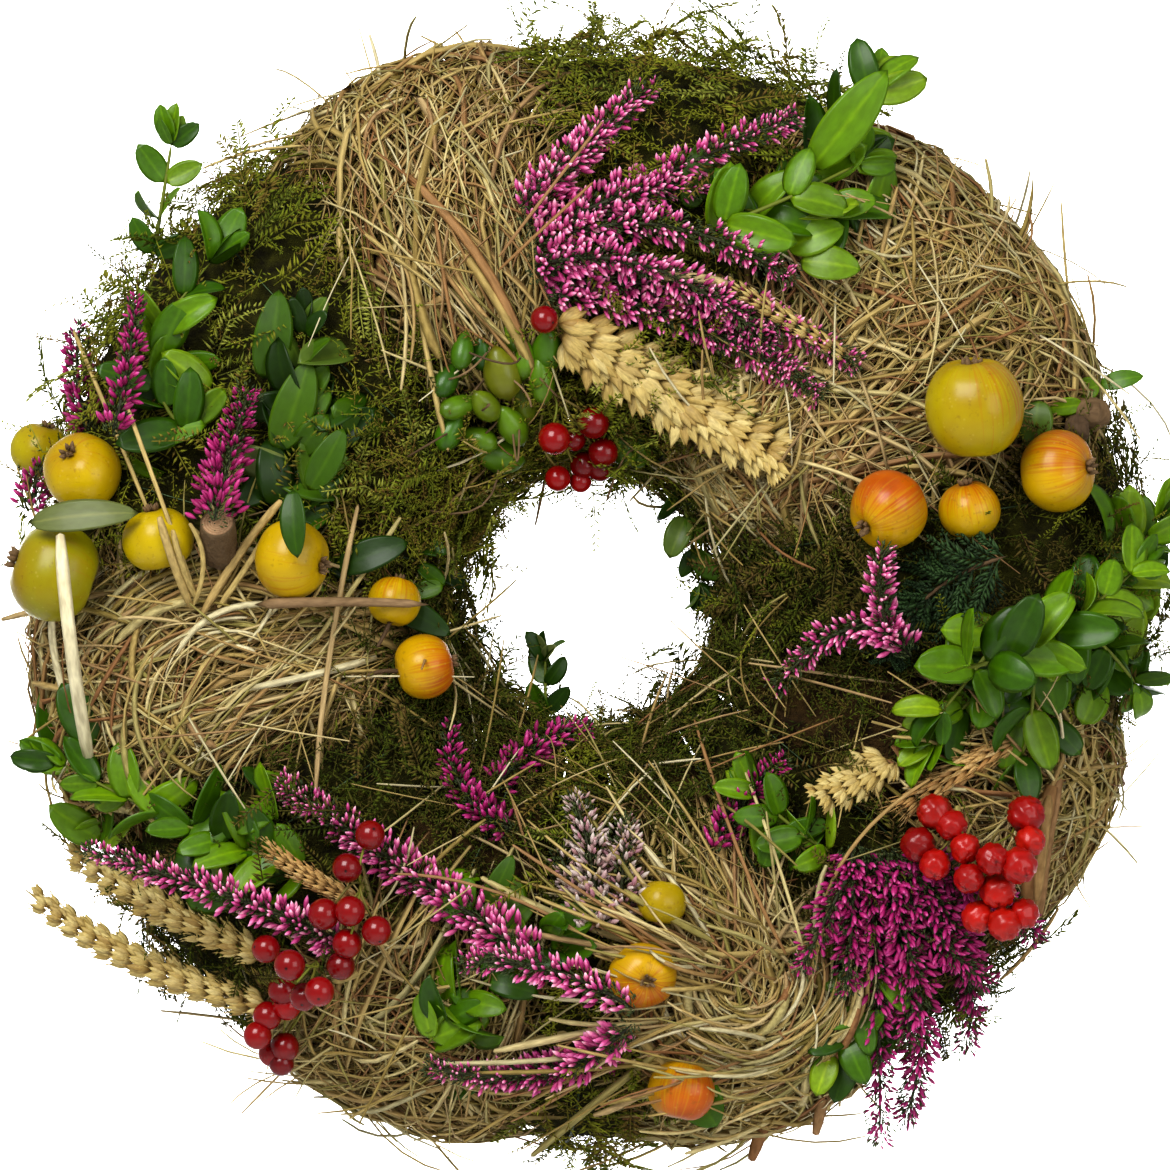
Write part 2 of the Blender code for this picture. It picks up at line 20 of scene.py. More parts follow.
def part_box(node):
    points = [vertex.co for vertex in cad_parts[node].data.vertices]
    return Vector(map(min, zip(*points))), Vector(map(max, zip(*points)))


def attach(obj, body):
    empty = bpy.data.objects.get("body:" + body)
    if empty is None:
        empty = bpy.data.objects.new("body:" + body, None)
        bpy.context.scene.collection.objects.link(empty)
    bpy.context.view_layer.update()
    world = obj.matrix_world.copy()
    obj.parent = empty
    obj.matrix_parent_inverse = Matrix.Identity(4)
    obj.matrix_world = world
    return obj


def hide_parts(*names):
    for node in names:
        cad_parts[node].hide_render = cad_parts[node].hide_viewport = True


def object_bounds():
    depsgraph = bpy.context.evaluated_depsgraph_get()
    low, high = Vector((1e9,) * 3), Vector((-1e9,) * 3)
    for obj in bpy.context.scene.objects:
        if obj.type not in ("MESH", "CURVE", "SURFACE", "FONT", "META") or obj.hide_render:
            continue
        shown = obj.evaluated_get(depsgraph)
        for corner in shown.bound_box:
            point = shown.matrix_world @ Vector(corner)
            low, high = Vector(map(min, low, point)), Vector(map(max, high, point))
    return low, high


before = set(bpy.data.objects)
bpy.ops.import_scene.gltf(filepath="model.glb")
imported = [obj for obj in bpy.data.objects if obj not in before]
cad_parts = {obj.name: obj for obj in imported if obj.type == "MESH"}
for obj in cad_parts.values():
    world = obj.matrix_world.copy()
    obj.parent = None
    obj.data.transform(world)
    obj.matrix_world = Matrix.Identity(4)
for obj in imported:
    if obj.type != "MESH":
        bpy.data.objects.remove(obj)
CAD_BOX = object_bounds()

Array = np.ndarray
Socket = bpy.types.NodeSocket
Material = bpy.types.Material
Object = bpy.types.Object
Pair = tuple[float, float]
Triple = tuple[float, float, float]

LOG = logging.getLogger("wreath")
MM = 0.001
BODY = "wreath"
RING_BODY = "ring"
CELLS = 64
BAKE_MAP = "OFBake"
FORWARD = np.array([0.0, -1.0, 0.0])
UP = np.array([0.0, 0.0, 1.0])
BLACK = (0, 0, 0, 1)
WHITE = (1, 1, 1, 1)

# Share of the straw ring's outer reach at which its centre line runs
CENTRE_LINE_SHARE = 107 / 153
# Shape of the cover's outline and how far it folds back over the edges
OUTLINE_POWER = 2.4
BACK_EDGE = -42.0
MIDDLE_DEPTH = 42 * MM
BACK_FLAT = 32 * MM
BACK_CORNER = 14 * MM
BACK_REACH = 62 * MM
WIRE_TURNS = 10
# Turns of the thin wire round the cover, and where in a turn it lies on the flat back
COVER_WIRE_TURNS = 14
ON_THE_BACK = (222.0, 318.0)
# Angles of the section where hay and moss start and end, and the whole span that hay could cover
HAY_FROM = -34.0
MOSS_FROM = -36.0
COVER_TO = 212.0
SECTION_SPAN = 240.0
# Mean reach of the section, which turns a length across the cover into degrees
SECTION_REACH = 0.066
# How far past the CAD box a loose strand may reach, and its distance from the hanging ring at rest
ROOM_SHARE = 0.03
ROOM = 9 * MM
RING_GAP = 1.5 * MM
RING_MARGIN = 2 * MM
# Points along and round the hanging ring
HOOP_STEPS = (72, 14)


def unit(vectors: Array) -> Array:
    """Scale vectors to length one."""
    return vectors / np.maximum(np.linalg.norm(vectors, axis=-1, keepdims=True), 1e-12)


def square_to(face: Array, heading: Array) -> Array:
    """Turn directions so that they stand square to headings."""
    return unit(face - heading * (face * heading).sum(1, keepdims=True))


def srgb(*levels: int) -> tuple[float, float, float, float]:
    """Turn a 0-255 screen colour into the linear colour that a shader takes."""
    scaled = np.array(levels) / 255
    linear = np.where(scaled <= 0.04045, scaled / 12.92, ((scaled + 0.055) / 1.055) ** 2.4)
    return (*[float(value) for value in linear], 1.0)


# ---------------------------------------------------------------- finishes


class Nodes:
    """A short way to write a node tree: each call adds one node and links its inputs."""

    def __init__(self, name: str) -> None:
        """Start an empty material with a Principled shader."""
        self.material = bpy.data.materials.new(name)
        self.material.use_nodes = True
        self.tree = self.material.node_tree
        self.shader = self.tree.nodes["Principled BSDF"]

    def add(self, kind: str, inputs: dict | None = None, **settings: object) -> bpy.types.Node:
        """Add a node.

        Args:
            kind: Blender's node type.
            inputs: what each input gets, a value or another node's socket.
            settings: attributes set on the node itself.

        Returns:
            The new node.
        """
        node = self.tree.nodes.new(kind)
        for key, value in settings.items():
            setattr(node, key, value)
        for key, value in (inputs or {}).items():
            self.feed(node.inputs[key], value)
        return node

    def feed(self, socket: Socket, value: object) -> None:
        """Link a socket to another, or set its own value."""
        if isinstance(value, Socket):
            self.tree.links.new(value, socket)
        else:
            socket.default_value = value

    def math(self, operation: str, first: object, second: object = 0.0) -> Socket:
        """Apply one arithmetic step."""
        return self.add("ShaderNodeMath", {0: first, 1: second}, operation=operation).outputs[0]

    def ramp(self, factor: object, stops: tuple) -> Socket:
        """Map a factor to a colour.

        Args:
            factor: socket or value from 0 to 1.
            stops: (position, colour) pairs in order.

        Returns:
            The colour socket.
        """
        node = self.add("ShaderNodeValToRGB", {"Fac": factor})
        band = node.color_ramp
        while len(band.elements) < len(stops):
            band.elements.new(1.0)
        for element, (position, colour) in zip(band.elements, stops):
            element.position = position
            element.color = colour
        return node.outputs["Color"]

    def mix(self, factor: object, first: object, second: object, way: str = "MIX") -> Socket:
        """Blend two colours."""
        node = self.add("ShaderNodeMix", {0: factor, 6: first, 7: second}, data_type="RGBA", blend_type=way)
        return node.outputs[2]

    def noise(self, vector: object, scale: float, detail: float = 3.0) -> Socket:
        """Sample a cloud noise."""
        inputs = {"Vector": vector, "Scale": scale, "Detail": detail}
        return self.add("ShaderNodeTexNoise", inputs).outputs["Fac"]

    def stretch(self, vector: object, scale: Triple) -> Socket:
        """Scale a vector axis by axis."""
        return self.add("ShaderNodeMapping", {"Vector": vector, "Scale": scale}).outputs[0]

    def object_place(self) -> Socket:
        """Give the place on the object in metres."""
        return self.add("ShaderNodeTexCoord").outputs["Object"]

    def attribute(self, name: str) -> Socket:
        """Give the piece's own stored value of that name."""
        return self.add("ShaderNodeAttribute", attribute_name=name).outputs["Fac"]

    def bump(self, height: object, strength: float, distance: float) -> None:
        """Raise the surface by a height pattern."""
        inputs = {"Height": height, "Strength": strength, "Distance": distance}
        self.feed(self.shader.inputs["Normal"], self.add("ShaderNodeBump", inputs).outputs[0])

    def finish(self, colour: object, **values: float) -> Material:
        """Set the base colour and the shader's own values, and give the material."""
        self.feed(self.shader.inputs["Base Color"], colour)
        for key, value in values.items():
            self.shader.inputs[key.replace("_", " ").title().replace("Ior", "IOR")].default_value = value
        return self.material


@dataclass(frozen=True)
class Finish:
    """A named finish that can build its material."""

    name: str

    def make(self) -> Material:
        """Build the node tree."""
        raise NotImplementedError


@dataclass(frozen=True)
class PlantFinish(Finish):
    """Finish of many small plant parts that share one map.

    The map's width holds a row of cells, one tone for each; across a cell runs round the part, and
    the map's height runs from its foot to its tip.
    """

    tones: tuple
    along: tuple
    roughness: float = 0.7
    fibre: float = 0.25
    fibre_scale: Pair = (200.0, 14.0)
    coat: float = 0.0
    specular: float = 0.4
    rib: float = 0.0

    def make(self) -> Material:
        """Build the node tree: tone by cell, shade along the part, fine fibres and a middle rib."""
        nodes = Nodes(self.name)
        uv = nodes.add("ShaderNodeUVMap", uv_map=BAKE_MAP).outputs[0]
        parts = nodes.add("ShaderNodeSeparateXYZ", {0: uv})
        cells = nodes.math("MULTIPLY", parts.outputs[0], CELLS)
        cell = nodes.math("DIVIDE", nodes.math("FLOOR", cells), CELLS)
        across = nodes.math("FRACT", cells)
        tone = nodes.ramp(cell, spread(self.tones))
        shade = nodes.ramp(parts.outputs[1], self.along)
        colour = nodes.mix(1.0, tone, shade, "MULTIPLY")
        width, length = self.fibre_scale
        fibres = nodes.noise(nodes.stretch(uv, (width, length, 1.0)), 1.0, 2.0)
        dark = nodes.ramp(fibres, ((0.35, (0.55, 0.50, 0.42, 1)), (0.65, (1.15, 1.15, 1.15, 1))))
        colour = nodes.mix(self.fibre, colour, nodes.mix(1.0, colour, dark, "MULTIPLY"))
        if self.rib:
            off_middle = nodes.math("ABSOLUTE", nodes.math("SUBTRACT", across, 0.5))
            line = nodes.math("SUBTRACT", 1.0, nodes.math("MULTIPLY", off_middle, 14.0))
            line = nodes.math("MAXIMUM", line, 0.0)
            pale = nodes.mix(1.0, colour, (1.9, 1.65, 1.5, 1), "MULTIPLY")
            rim = nodes.math("SUBTRACT", nodes.math("MULTIPLY", off_middle, 20.0), 7.4)
            rim = nodes.math("MAXIMUM", rim, 0.0)
            line = nodes.math("MINIMUM", nodes.math("MAXIMUM", line, rim), 1.0)
            colour = nodes.mix(nodes.math("MULTIPLY", line, self.rib), colour, pale)
        nodes.bump(fibres, 0.25, 0.2 * MM)
        return nodes.finish(
            colour, roughness=self.roughness, coat_weight=self.coat, specular_ior_level=self.specular)


def spread(tones: tuple) -> tuple:
    """Set 0-255 screen colours evenly along a ramp."""
    last = max(len(tones) - 1, 1)
    return tuple((index / last, srgb(*tone)) for index, tone in enumerate(tones))


PLAIN = ((0.0, WHITE), (1.0, WHITE))
DARK_FOOT = ((0.0, (0.45, 0.42, 0.38, 1)), (0.35, (0.9, 0.9, 0.9, 1)), (1.0, (1.1, 1.1, 1.05, 1)))


class Plant(Enum):
    """Named plant finishes."""

    HAY = PlantFinish(
        "hay_strands",
        ((88, 62, 26), (134, 120, 56), (174, 150, 88), (204, 182, 118), (148, 102, 62),
         (224, 208, 152), (150, 140, 72), (246, 236, 198)),
        ((0.0, (0.8, 0.75, 0.7, 1)), (0.2, WHITE), (0.85, WHITE), (1.0, (0.85, 0.8, 0.75, 1))),
        roughness=0.62, fibre=0.6, specular=0.25)
    STRAW = PlantFinish(
        "straw_strands",
        ((186, 160, 102), (214, 190, 132), (228, 208, 158), (168, 138, 84)),
        PLAIN, roughness=0.5, fibre=0.5)
    MOSS = PlantFinish(
        "moss_fronds",
        ((58, 60, 12), (90, 96, 18), (116, 122, 28), (142, 146, 40), (116, 90, 42),
         (126, 136, 32), (80, 92, 18), (168, 172, 76)),
        ((0.0, (0.5, 0.45, 0.4, 1)), (0.5, (0.95, 0.95, 0.95, 1)), (1.0, (1.25, 1.25, 1.1, 1))),
        roughness=0.8, fibre=0.3, specular=0.2)
    MOSS_DARK = PlantFinish(
        "dark_moss_fronds",
        ((34, 36, 4), (52, 60, 6), (72, 80, 10), (92, 78, 30), (60, 74, 8),
         (96, 104, 20), (110, 88, 46), (84, 94, 16)),
        ((0.0, (0.5, 0.45, 0.4, 1)), (0.5, (0.95, 0.95, 0.95, 1)), (1.0, (1.25, 1.25, 1.1, 1))),
        roughness=0.8, fibre=0.3, specular=0.2)
    # The pale tips of the pink bells are partly their own colour and partly a painted highlight.
    HEATHER_PINK = PlantFinish(
        "heather_pink_bells",
        ((176, 40, 112), (206, 72, 142), (222, 104, 160), (190, 52, 124)),
        ((0.0, (0.35, 0.42, 0.30, 1)), (0.22, (0.75, 0.6, 0.65, 1)), (0.55, WHITE),
         (0.72, (1.5, 3.2, 1.8, 1)), (1.0, (1.9, 7.0, 3.0, 1))),
        roughness=0.5, fibre=0.25)
    # The pale tips of the magenta bells are partly their own colour and partly a painted highlight.
    HEATHER_DEEP = PlantFinish(
        "heather_magenta_bells",
        ((146, 14, 88), (176, 26, 112), (198, 48, 132), (128, 8, 70)),
        ((0.0, (0.4, 0.4, 0.35, 1)), (0.3, (0.85, 0.8, 0.8, 1)), (0.72, (1.1, 1.4, 1.1, 1)),
         (1.0, (1.6, 7.5, 2.4, 1))),
        roughness=0.5, fibre=0.25)
    HEATHER_WHITE = PlantFinish(
        "heather_white_bells",
        ((204, 184, 180), (228, 216, 208), (190, 132, 148), (206, 194, 170)),
        ((0.0, (0.35, 0.4, 0.25, 1)), (0.35, (0.85, 0.75, 0.75, 1)), (1.0, (1.05, 1.08, 1.05, 1))),
        roughness=0.55, fibre=0.25)
    NEEDLE = PlantFinish(
        "heather_needles",
        ((44, 58, 26), (66, 84, 38), (84, 98, 48), (52, 50, 28)),
        DARK_FOOT, roughness=0.6)
    BOX_LEAF = PlantFinish(
        "box_leaves",
        ((40, 72, 0), (56, 96, 0), (80, 122, 2), (110, 148, 8), (68, 108, 0),
         (134, 164, 24)),
        ((0.0, (1.15, 1.1, 0.9, 1)), (0.3, WHITE), (1.0, (0.95, 0.97, 0.9, 1))),
        roughness=0.36, fibre=0.35, coat=0.05, specular=0.3, rib=0.6, fibre_scale=(420.0, 7.0))
    DARK_LEAF = PlantFinish(
        "dark_box_leaves",
        ((24, 46, 0), (34, 64, 2), (50, 84, 2), (74, 108, 8), (104, 112, 60)),
        PLAIN, roughness=0.38, fibre=0.2, coat=0.04, specular=0.28, rib=0.5, fibre_scale=(420.0, 8.0))
    EAR = PlantFinish(
        "grain_husks",
        ((184, 158, 90), (200, 178, 110), (216, 198, 136), (168, 138, 72)),
        ((0.0, (0.62, 0.5, 0.36, 1)), (0.35, (0.95, 0.93, 0.88, 1)), (0.8, (1.05, 1.05, 1.0, 1)),
         (1.0, (0.9, 0.8, 0.6, 1))),
        roughness=0.55, fibre=0.5, fibre_scale=(420.0, 5.0))
    RED_EAR = PlantFinish(
        "grass_husks",
        ((198, 158, 94), (210, 176, 114), (178, 134, 76), (224, 198, 140)),
        ((0.0, (0.7, 0.6, 0.5, 1)), (0.5, WHITE), (1.0, (1.1, 1.05, 0.95, 1))),
        roughness=0.55, fibre=0.5)
    BERRY = PlantFinish(
        "red_berries",
        ((122, 0, 4), (140, 2, 6), (158, 6, 8), (108, 0, 4)),
        ((0.0, (0.8, 0.8, 0.8, 1)), (0.9, WHITE), (0.955, (0.9, 0.9, 0.9, 1)), (0.98, (0.15, 0.3, 0.2, 1))),
        roughness=0.2, fibre=0.1, coat=0.1, specular=0.45, fibre_scale=(60.0, 3.0))
    SCARLET = PlantFinish(
        "scarlet_berries",
        ((156, 6, 4), (176, 14, 6), (190, 26, 10), (132, 4, 4)),
        ((0.0, (0.7, 0.6, 0.5, 1)), (0.3, WHITE), (0.93, WHITE), (1.0, (0.3, 0.3, 0.2, 1))),
        roughness=0.3, fibre=0.3, coat=0.08, specular=0.4, fibre_scale=(90.0, 5.0))
    STALK = PlantFinish(
        "green_stalks",
        ((104, 118, 28), (128, 134, 38), (112, 94, 46), (142, 144, 54)),
        PLAIN, roughness=0.6)
    TWIG = PlantFinish(
        "brown_twigs",
        ((100, 78, 50), (128, 102, 70), (80, 60, 38), (152, 124, 88)),
        PLAIN, roughness=0.75, fibre=0.6)
    POD = PlantFinish(
        "green_pods",
        ((40, 84, 0), (66, 112, 2), (98, 134, 8), (122, 112, 20)),
        ((0.0, (0.8, 0.75, 0.6, 1)), (0.4, WHITE), (0.9, (1, 1, 0.9, 1)), (1.0, (0.5, 0.35, 0.25, 1))),
        roughness=0.38, fibre=0.35, coat=0.15, fibre_scale=(90.0, 4.0))
    CYPRESS = PlantFinish(
        "cypress_scales",
        ((26, 48, 20), (40, 68, 28), (56, 88, 38), (34, 56, 24)),
        DARK_FOOT, roughness=0.6)


@dataclass(frozen=True)
class BedFinish(Finish):
    """Rough bed that shows between the strands: two colours broken up by noise."""

    dark: tuple
    light: tuple
    scale: float

    def make(self) -> Material:
        """Build the node tree: a cloud of both colours, darkened by painted shade in fine pit marks."""
        nodes = Nodes(self.name)
        dark, light = srgb(*self.dark), srgb(*self.light)
        place = nodes.object_place()
        cloud = nodes.noise(place, self.scale, 6.0)
        fine = nodes.noise(place, self.scale * 6, 2.0)
        colour = nodes.ramp(cloud, ((0.35, dark), (0.7, light)))
        # painted shade: fine noise darkens the bed towards black in small hollows
        painted_pit_shade = nodes.ramp(fine, ((0.3, (0.1, 0.08, 0.05, 1)), (0.7, light)))
        colour = nodes.mix(0.6, colour, painted_pit_shade, "MULTIPLY")
        nodes.bump(fine, 0.9, 2 * MM)
        return nodes.finish(colour, roughness=0.95, specular_ior_level=0.2)


@dataclass(frozen=True)
class AppleFinish(Finish):
    """Crab apple skin: green to yellow ground, a streaked blush, pale specks and a soft gloss."""

    def make(self) -> Material:
        """Build the node tree in layers, from the ground colour outwards."""
        nodes = Nodes(self.name)
        place = nodes.object_place()
        colour = self.marks(nodes, place, self.blushed(nodes, place))
        nodes.bump(nodes.noise(place, 160.0, 2.0), 0.12, 1 * MM)
        return nodes.finish(
            colour, roughness=0.3, coat_weight=0.06, coat_roughness=0.15, specular_ior_level=0.28)

    @staticmethod
    def blushed(nodes: Nodes, place: Socket) -> Socket:
        """Ground colour by ripeness, with red streaks that run from end to end on one side."""
        blush = nodes.attribute("blush")
        ripe = nodes.attribute("ripe")
        rise = nodes.math("MULTIPLY", nodes.attribute("rise"), 1.6)
        east = nodes.math("MULTIPLY", nodes.attribute("east"), 14.0)
        north = nodes.math("MULTIPLY", nodes.attribute("north"), 14.0)
        cloud = nodes.ramp(nodes.noise(place, 48.0, 4.0), ((0.38, BLACK), (0.72, WHITE)))
        ground = nodes.ramp(
            ripe, ((0.0, srgb(150, 150, 8)), (0.5, srgb(202, 174, 2)), (1.0, srgb(208, 154, 4))))
        ground = nodes.mix(nodes.math("MULTIPLY", cloud, 0.6), ground, srgb(148, 108, 4))
        vector = nodes.add("ShaderNodeCombineXYZ", {0: east, 1: north, 2: rise}).outputs[0]
        streak = nodes.noise(vector, 1.0, 3.0)
        edge = nodes.math("ADD", blush, nodes.math("MULTIPLY", nodes.math("SUBTRACT", streak, 0.5), 1.25))
        red = nodes.ramp(nodes.noise(place, 90.0), ((0.3, srgb(164, 40, 8)), (0.7, srgb(196, 86, 12))))
        amount = nodes.ramp(edge, ((0.42, BLACK), (1.0, (0.85, 0.85, 0.85, 1))))
        return nodes.mix(amount, ground, red)

    @staticmethod
    def marks(nodes: Nodes, place: Socket, colour: Socket) -> Socket:
        """Pale specks, brown freckles and russet in the dimples, laid over the skin's colour."""
        specks = nodes.add("ShaderNodeTexVoronoi", {"Vector": place, "Scale": 420.0}).outputs["Distance"]
        speck = nodes.ramp(specks, ((0.10, WHITE), (0.20, BLACK)))
        colour = nodes.mix(nodes.math("MULTIPLY", speck, 0.14), colour, srgb(226, 206, 120))
        freckle = nodes.ramp(nodes.noise(place, 620.0, 2.0), ((0.62, BLACK), (0.74, WHITE)))
        colour = nodes.mix(nodes.math("MULTIPLY", freckle, 0.35), colour, srgb(120, 84, 20))
        russet = nodes.ramp(nodes.attribute("russet"), ((0.35, BLACK), (0.9, WHITE)))
        return nodes.mix(russet, colour, srgb(92, 66, 26))


@dataclass(frozen=True)
class WireFinish(Finish):
    """Drawn wire: metal with long fine scratches and dull spots."""

    colour: tuple
    roughness: float

    def make(self) -> Material:
        """Build the node tree."""
        nodes = Nodes(self.name)
        place = nodes.object_place()
        colour = srgb(*self.colour)
        spots = nodes.noise(place, 260.0, 3.0)
        shade = nodes.mix(spots, colour, tuple(0.6 * value for value in colour[:3]) + (1.0,))
        nodes.bump(nodes.noise(place, 900.0, 2.0), 0.1, 0.2 * MM)
        return nodes.finish(shade, metallic=0.9, roughness=self.roughness)


@dataclass(frozen=True)
class CutWoodFinish(Finish):
    """Sawn end of a branch: pale wood with growth rings round a small pith, darker to the bark."""

    def make(self) -> Material:
        """Build the node tree."""
        nodes = Nodes(self.name)
        reach = nodes.attribute("reach")
        rings = nodes.math("SINE", nodes.math("MULTIPLY", reach, 42.0))
        cloud = nodes.noise(nodes.object_place(), 300.0)
        pale = nodes.ramp(rings, ((0.0, srgb(190, 150, 110)), (1.0, srgb(216, 184, 144))))
        edge = nodes.ramp(reach, (
            (0.0, (0.5, 0.4, 0.3, 1)), (0.12, WHITE), (0.86, WHITE), (0.9, (0.30, 0.31, 0.25, 1))))
        wood = nodes.mix(nodes.math("MULTIPLY", cloud, 0.7), pale, srgb(140, 104, 70))
        colour = nodes.mix(1.0, wood, edge, "MULTIPLY")
        nodes.bump(nodes.noise(nodes.object_place(), 700.0, 4.0), 0.8, 1.5 * MM)
        return nodes.finish(colour, roughness=0.8)


class Stuff(Enum):
    """Named finishes of the beds, the fruit, the wood and the wires."""

    # The hay bed's colours are darker than most hay strands: painted shade for the gaps between the strands.
    HAY_BED = BedFinish("hay_bed", (58, 40, 16), (118, 92, 46), 160.0)
    MOSS_BED = BedFinish("moss_bed", (44, 40, 8), (94, 94, 20), 190.0)
    STRAW_BED = BedFinish("straw_bed", (160, 128, 74), (232, 210, 156), 200.0)
    APPLE = AppleFinish("crab_apple_skin")
    SAWN_WOOD = CutWoodFinish("sawn_wood")
    FLORIST_WIRE = WireFinish("florist_wire", (70, 86, 58), 0.4)
    STEEL = WireFinish("bright_steel", (196, 198, 200), 0.24)


class FinishShelf:
    """Keeps each material once it is made, so that pieces share it."""

    made: dict[str, Material] = {}

    @classmethod
    def take(cls, option: Plant | Stuff) -> Material:
        """Give the material of a named finish, made on first use."""
        finish = option.value
        if finish.name not in cls.made:
            cls.made[finish.name] = finish.make()
        return cls.made[finish.name]


# ---------------------------------------------------------------- shapes


@dataclass
class Soup:
    """Points and faces of closed parts, with each point's place on the shared map, if they use it."""

    points: Array
    triangles: Array
    quads: Array
    uv: Array | None = None
    values: dict[str, Array] = field(default_factory=dict)

    @staticmethod
    def join(parts: list["Soup"]) -> "Soup":
        """Put several soups into one."""
        starts = np.cumsum([0] + [len(part.points) for part in parts[:-1]])
        values = {key: np.concatenate([part.values[key] for part in parts]) for key in parts[0].values}
        return Soup(
            np.concatenate([part.points for part in parts]),
            np.concatenate([part.triangles + start for part, start in zip(parts, starts)]),
            np.concatenate([part.quads + start for part, start in zip(parts, starts)]),
            np.concatenate([part.uv for part in parts]),
            values)

    def piece(self, name: str, material: Material) -> Object:
        """Make one smooth-shaded object of the soup.

        Args:
            name: the object's name.
            material: its finish.

        Returns:
            The object, at the origin.
        """
        mesh = bpy.data.meshes.new(name)
        corners = np.concatenate([self.triangles.ravel(), self.quads.ravel()]).astype(np.int32)
        sizes = np.concatenate([np.full(len(self.triangles), 3), np.full(len(self.quads), 4)])
        starts = np.concatenate([[0], np.cumsum(sizes)[:-1]]).astype(np.int32)
        mesh.vertices.add(len(self.points))
        mesh.vertices.foreach_set("co", self.points.astype(np.float32).ravel())
        mesh.loops.add(len(corners))
        mesh.loops.foreach_set("vertex_index", corners)
        mesh.polygons.add(len(sizes))
        mesh.polygons.foreach_set("loop_start", starts)
        mesh.update(calc_edges=True)
        if self.uv is not None:
            layer = mesh.uv_layers.new(name=BAKE_MAP)
            layer.data.foreach_set("uv", self.uv[corners].astype(np.float32).ravel())
        for key, value in self.values.items():
            stored = mesh.attributes.new(key, "FLOAT", "POINT")
            stored.data.foreach_set("value", value.astype(np.float32))
        mesh.shade_smooth()
        mesh.materials.append(material)
        made = bpy.data.objects.new(name, mesh)
        bpy.context.collection.objects.link(made)
        return made


def closed_faces(rings: int, sides: int) -> tuple[Array, Array]:
    """Faces of one closed part: a fan at each end and bands between its rings of points.

    Args:
        rings: rings between the two end points.
        sides: points of each ring.

    Returns:
        Triangles and quads in point numbers; the foot is the first point and the tip the last.
    """
    corner = np.arange(sides)
    after = (corner + 1) % sides
    last, last_ring = rings * sides + 1, 1 + (rings - 1) * sides
    triangles = np.concatenate([
        np.stack([np.zeros(sides, int), 1 + after, 1 + corner], 1),
        np.stack([np.full(sides, last), last_ring + corner, last_ring + after], 1)])
    row = (1 + np.arange(rings - 1) * sides)[:, None]
    quads = np.stack([row + corner, row + after, row + sides + after, row + sides + corner], -1)
    return triangles, quads.reshape(-1, 4)


def carry(paths: Array, widths: Array, tones: Array, *, sides: int = 3, flat: float = 1.0,
          fold: float | Array = 0.0, up: Array | None = None) -> Soup:
    """Carry an oval section along each path, closed to a point at both ends.

    At each station the section is path + width * (side * cos a + lift * flat * sin a), with the
    edges raised by fold * width * |cos a|; side is square to the path and to the up vector.

    Args:
        paths: (parts, stations, 3) middle lines.
        widths: (parts, stations) half widths; the first and last are not used.
        tones: (parts,) tone of each part, from 0 to 1.
        sides: corners of the section.
        flat: thickness over width.
        fold: how far the edges rise.
        up: (3,) or (parts, 3) direction that the flat side faces.

    Returns:
        The closed parts as one soup.
    """
    count, stations, _ = paths.shape
    tangent = unit(np.gradient(paths, axis=1))
    facing = np.broadcast_to(FORWARD if up is None else up, (count, 3))[:, None, :]
    side = np.cross(np.broadcast_to(facing, tangent.shape), tangent)
    weak = np.linalg.norm(side, axis=-1, keepdims=True) < 0.05
    side = unit(np.where(weak, np.cross(np.array([0.3, 0.2, 1.0]), tangent), side))
    lift = np.cross(tangent, side)
    angle = 2 * math.pi * (np.arange(sides) + (0.25 if sides % 2 else 0.0)) / sides
    cosine = np.cos(angle)[None, None, :, None]
    sine = np.sin(angle)[None, None, :, None]
    ring_width = widths[:, 1:-1, None, None]
    raised = np.reshape(np.broadcast_to(fold, count), (count, 1, 1, 1)) * np.abs(cosine)
    rise = lift[:, 1:-1, None, :] * (flat * sine + raised)
    rings = paths[:, 1:-1, None, :] + ring_width * (side[:, 1:-1, None, :] * cosine + rise)
    inner = stations - 2
    per_part = inner * sides + 2
    points = np.empty((count, per_part, 3))
    points[:, 0] = paths[:, 0]
    points[:, 1:-1] = rings.reshape(count, inner * sides, 3)
    points[:, -1] = paths[:, -1]
    cell = np.floor(np.clip(tones, 0, 0.999) * CELLS)[:, None]
    across = np.tile(0.5 + 0.42 * np.cos(angle), inner)
    along = np.repeat(np.arange(1, inner + 1) / (stations - 1), sides)
    uv = np.empty((count, per_part, 2))
    uv[:, :, 0] = (cell + np.concatenate([[0.5], across, [0.5]])[None]) / CELLS
    uv[:, :, 1] = np.clip(np.concatenate([[0.0], along, [1.0]]), 0.004, 0.996)[None]
    triangles, quads = closed_faces(inner, sides)
    start = (np.arange(count) * per_part)[:, None, None]
    return Soup(
        points.reshape(-1, 3), (triangles[None] + start).reshape(-1, 3), (quads[None] + start).reshape(-1, 4),
        uv.reshape(-1, 2))


def cut_steps(stations: int) -> Array:
    """Shares from 0 to 1 whose outer two lie close to the ends, so that a straw ends as if cut."""
    return np.concatenate([[0.0], np.linspace(0.012, 0.988, stations - 2), [1.0]])


def parabola(foot: Array, middle: Array, tip: Array, t: Array) -> tuple[Array, Array]:
    """Places and directions at shares t of an even curve.

    The curve is foot * (1 - t)^2 + pull * 2t(1 - t) + tip * t^2, with the pull set so that it
    passes through the middle half way.

    Args:
        foot: starts.
        middle: points passed half way.
        tip: ends.
        t: shares of the way, in a shape that spreads over the points.

    Returns:
        The places and the unit directions.
    """
    pull = 2 * middle - (foot + tip) / 2
    place = foot * (1 - t) ** 2 + pull * 2 * t * (1 - t) + tip * t ** 2
    return place, unit(2 * (1 - t) * (pull - foot) + 2 * t * (tip - pull))


def sweep(foot: Array, middle: Array, tip: Array, stations: int) -> Array:
    """Parabolas from feet past middles to tips.

    Args:
        foot: (parts, 3) starts.
        middle: (parts, 3) points passed half way.
        tip: (parts, 3) ends.
        stations: points along each curve.

    Returns:
        (parts, stations, 3) points.
    """
    return parabola(foot[:, None], middle[:, None], tip[:, None], cut_steps(stations)[None, :, None])[0]


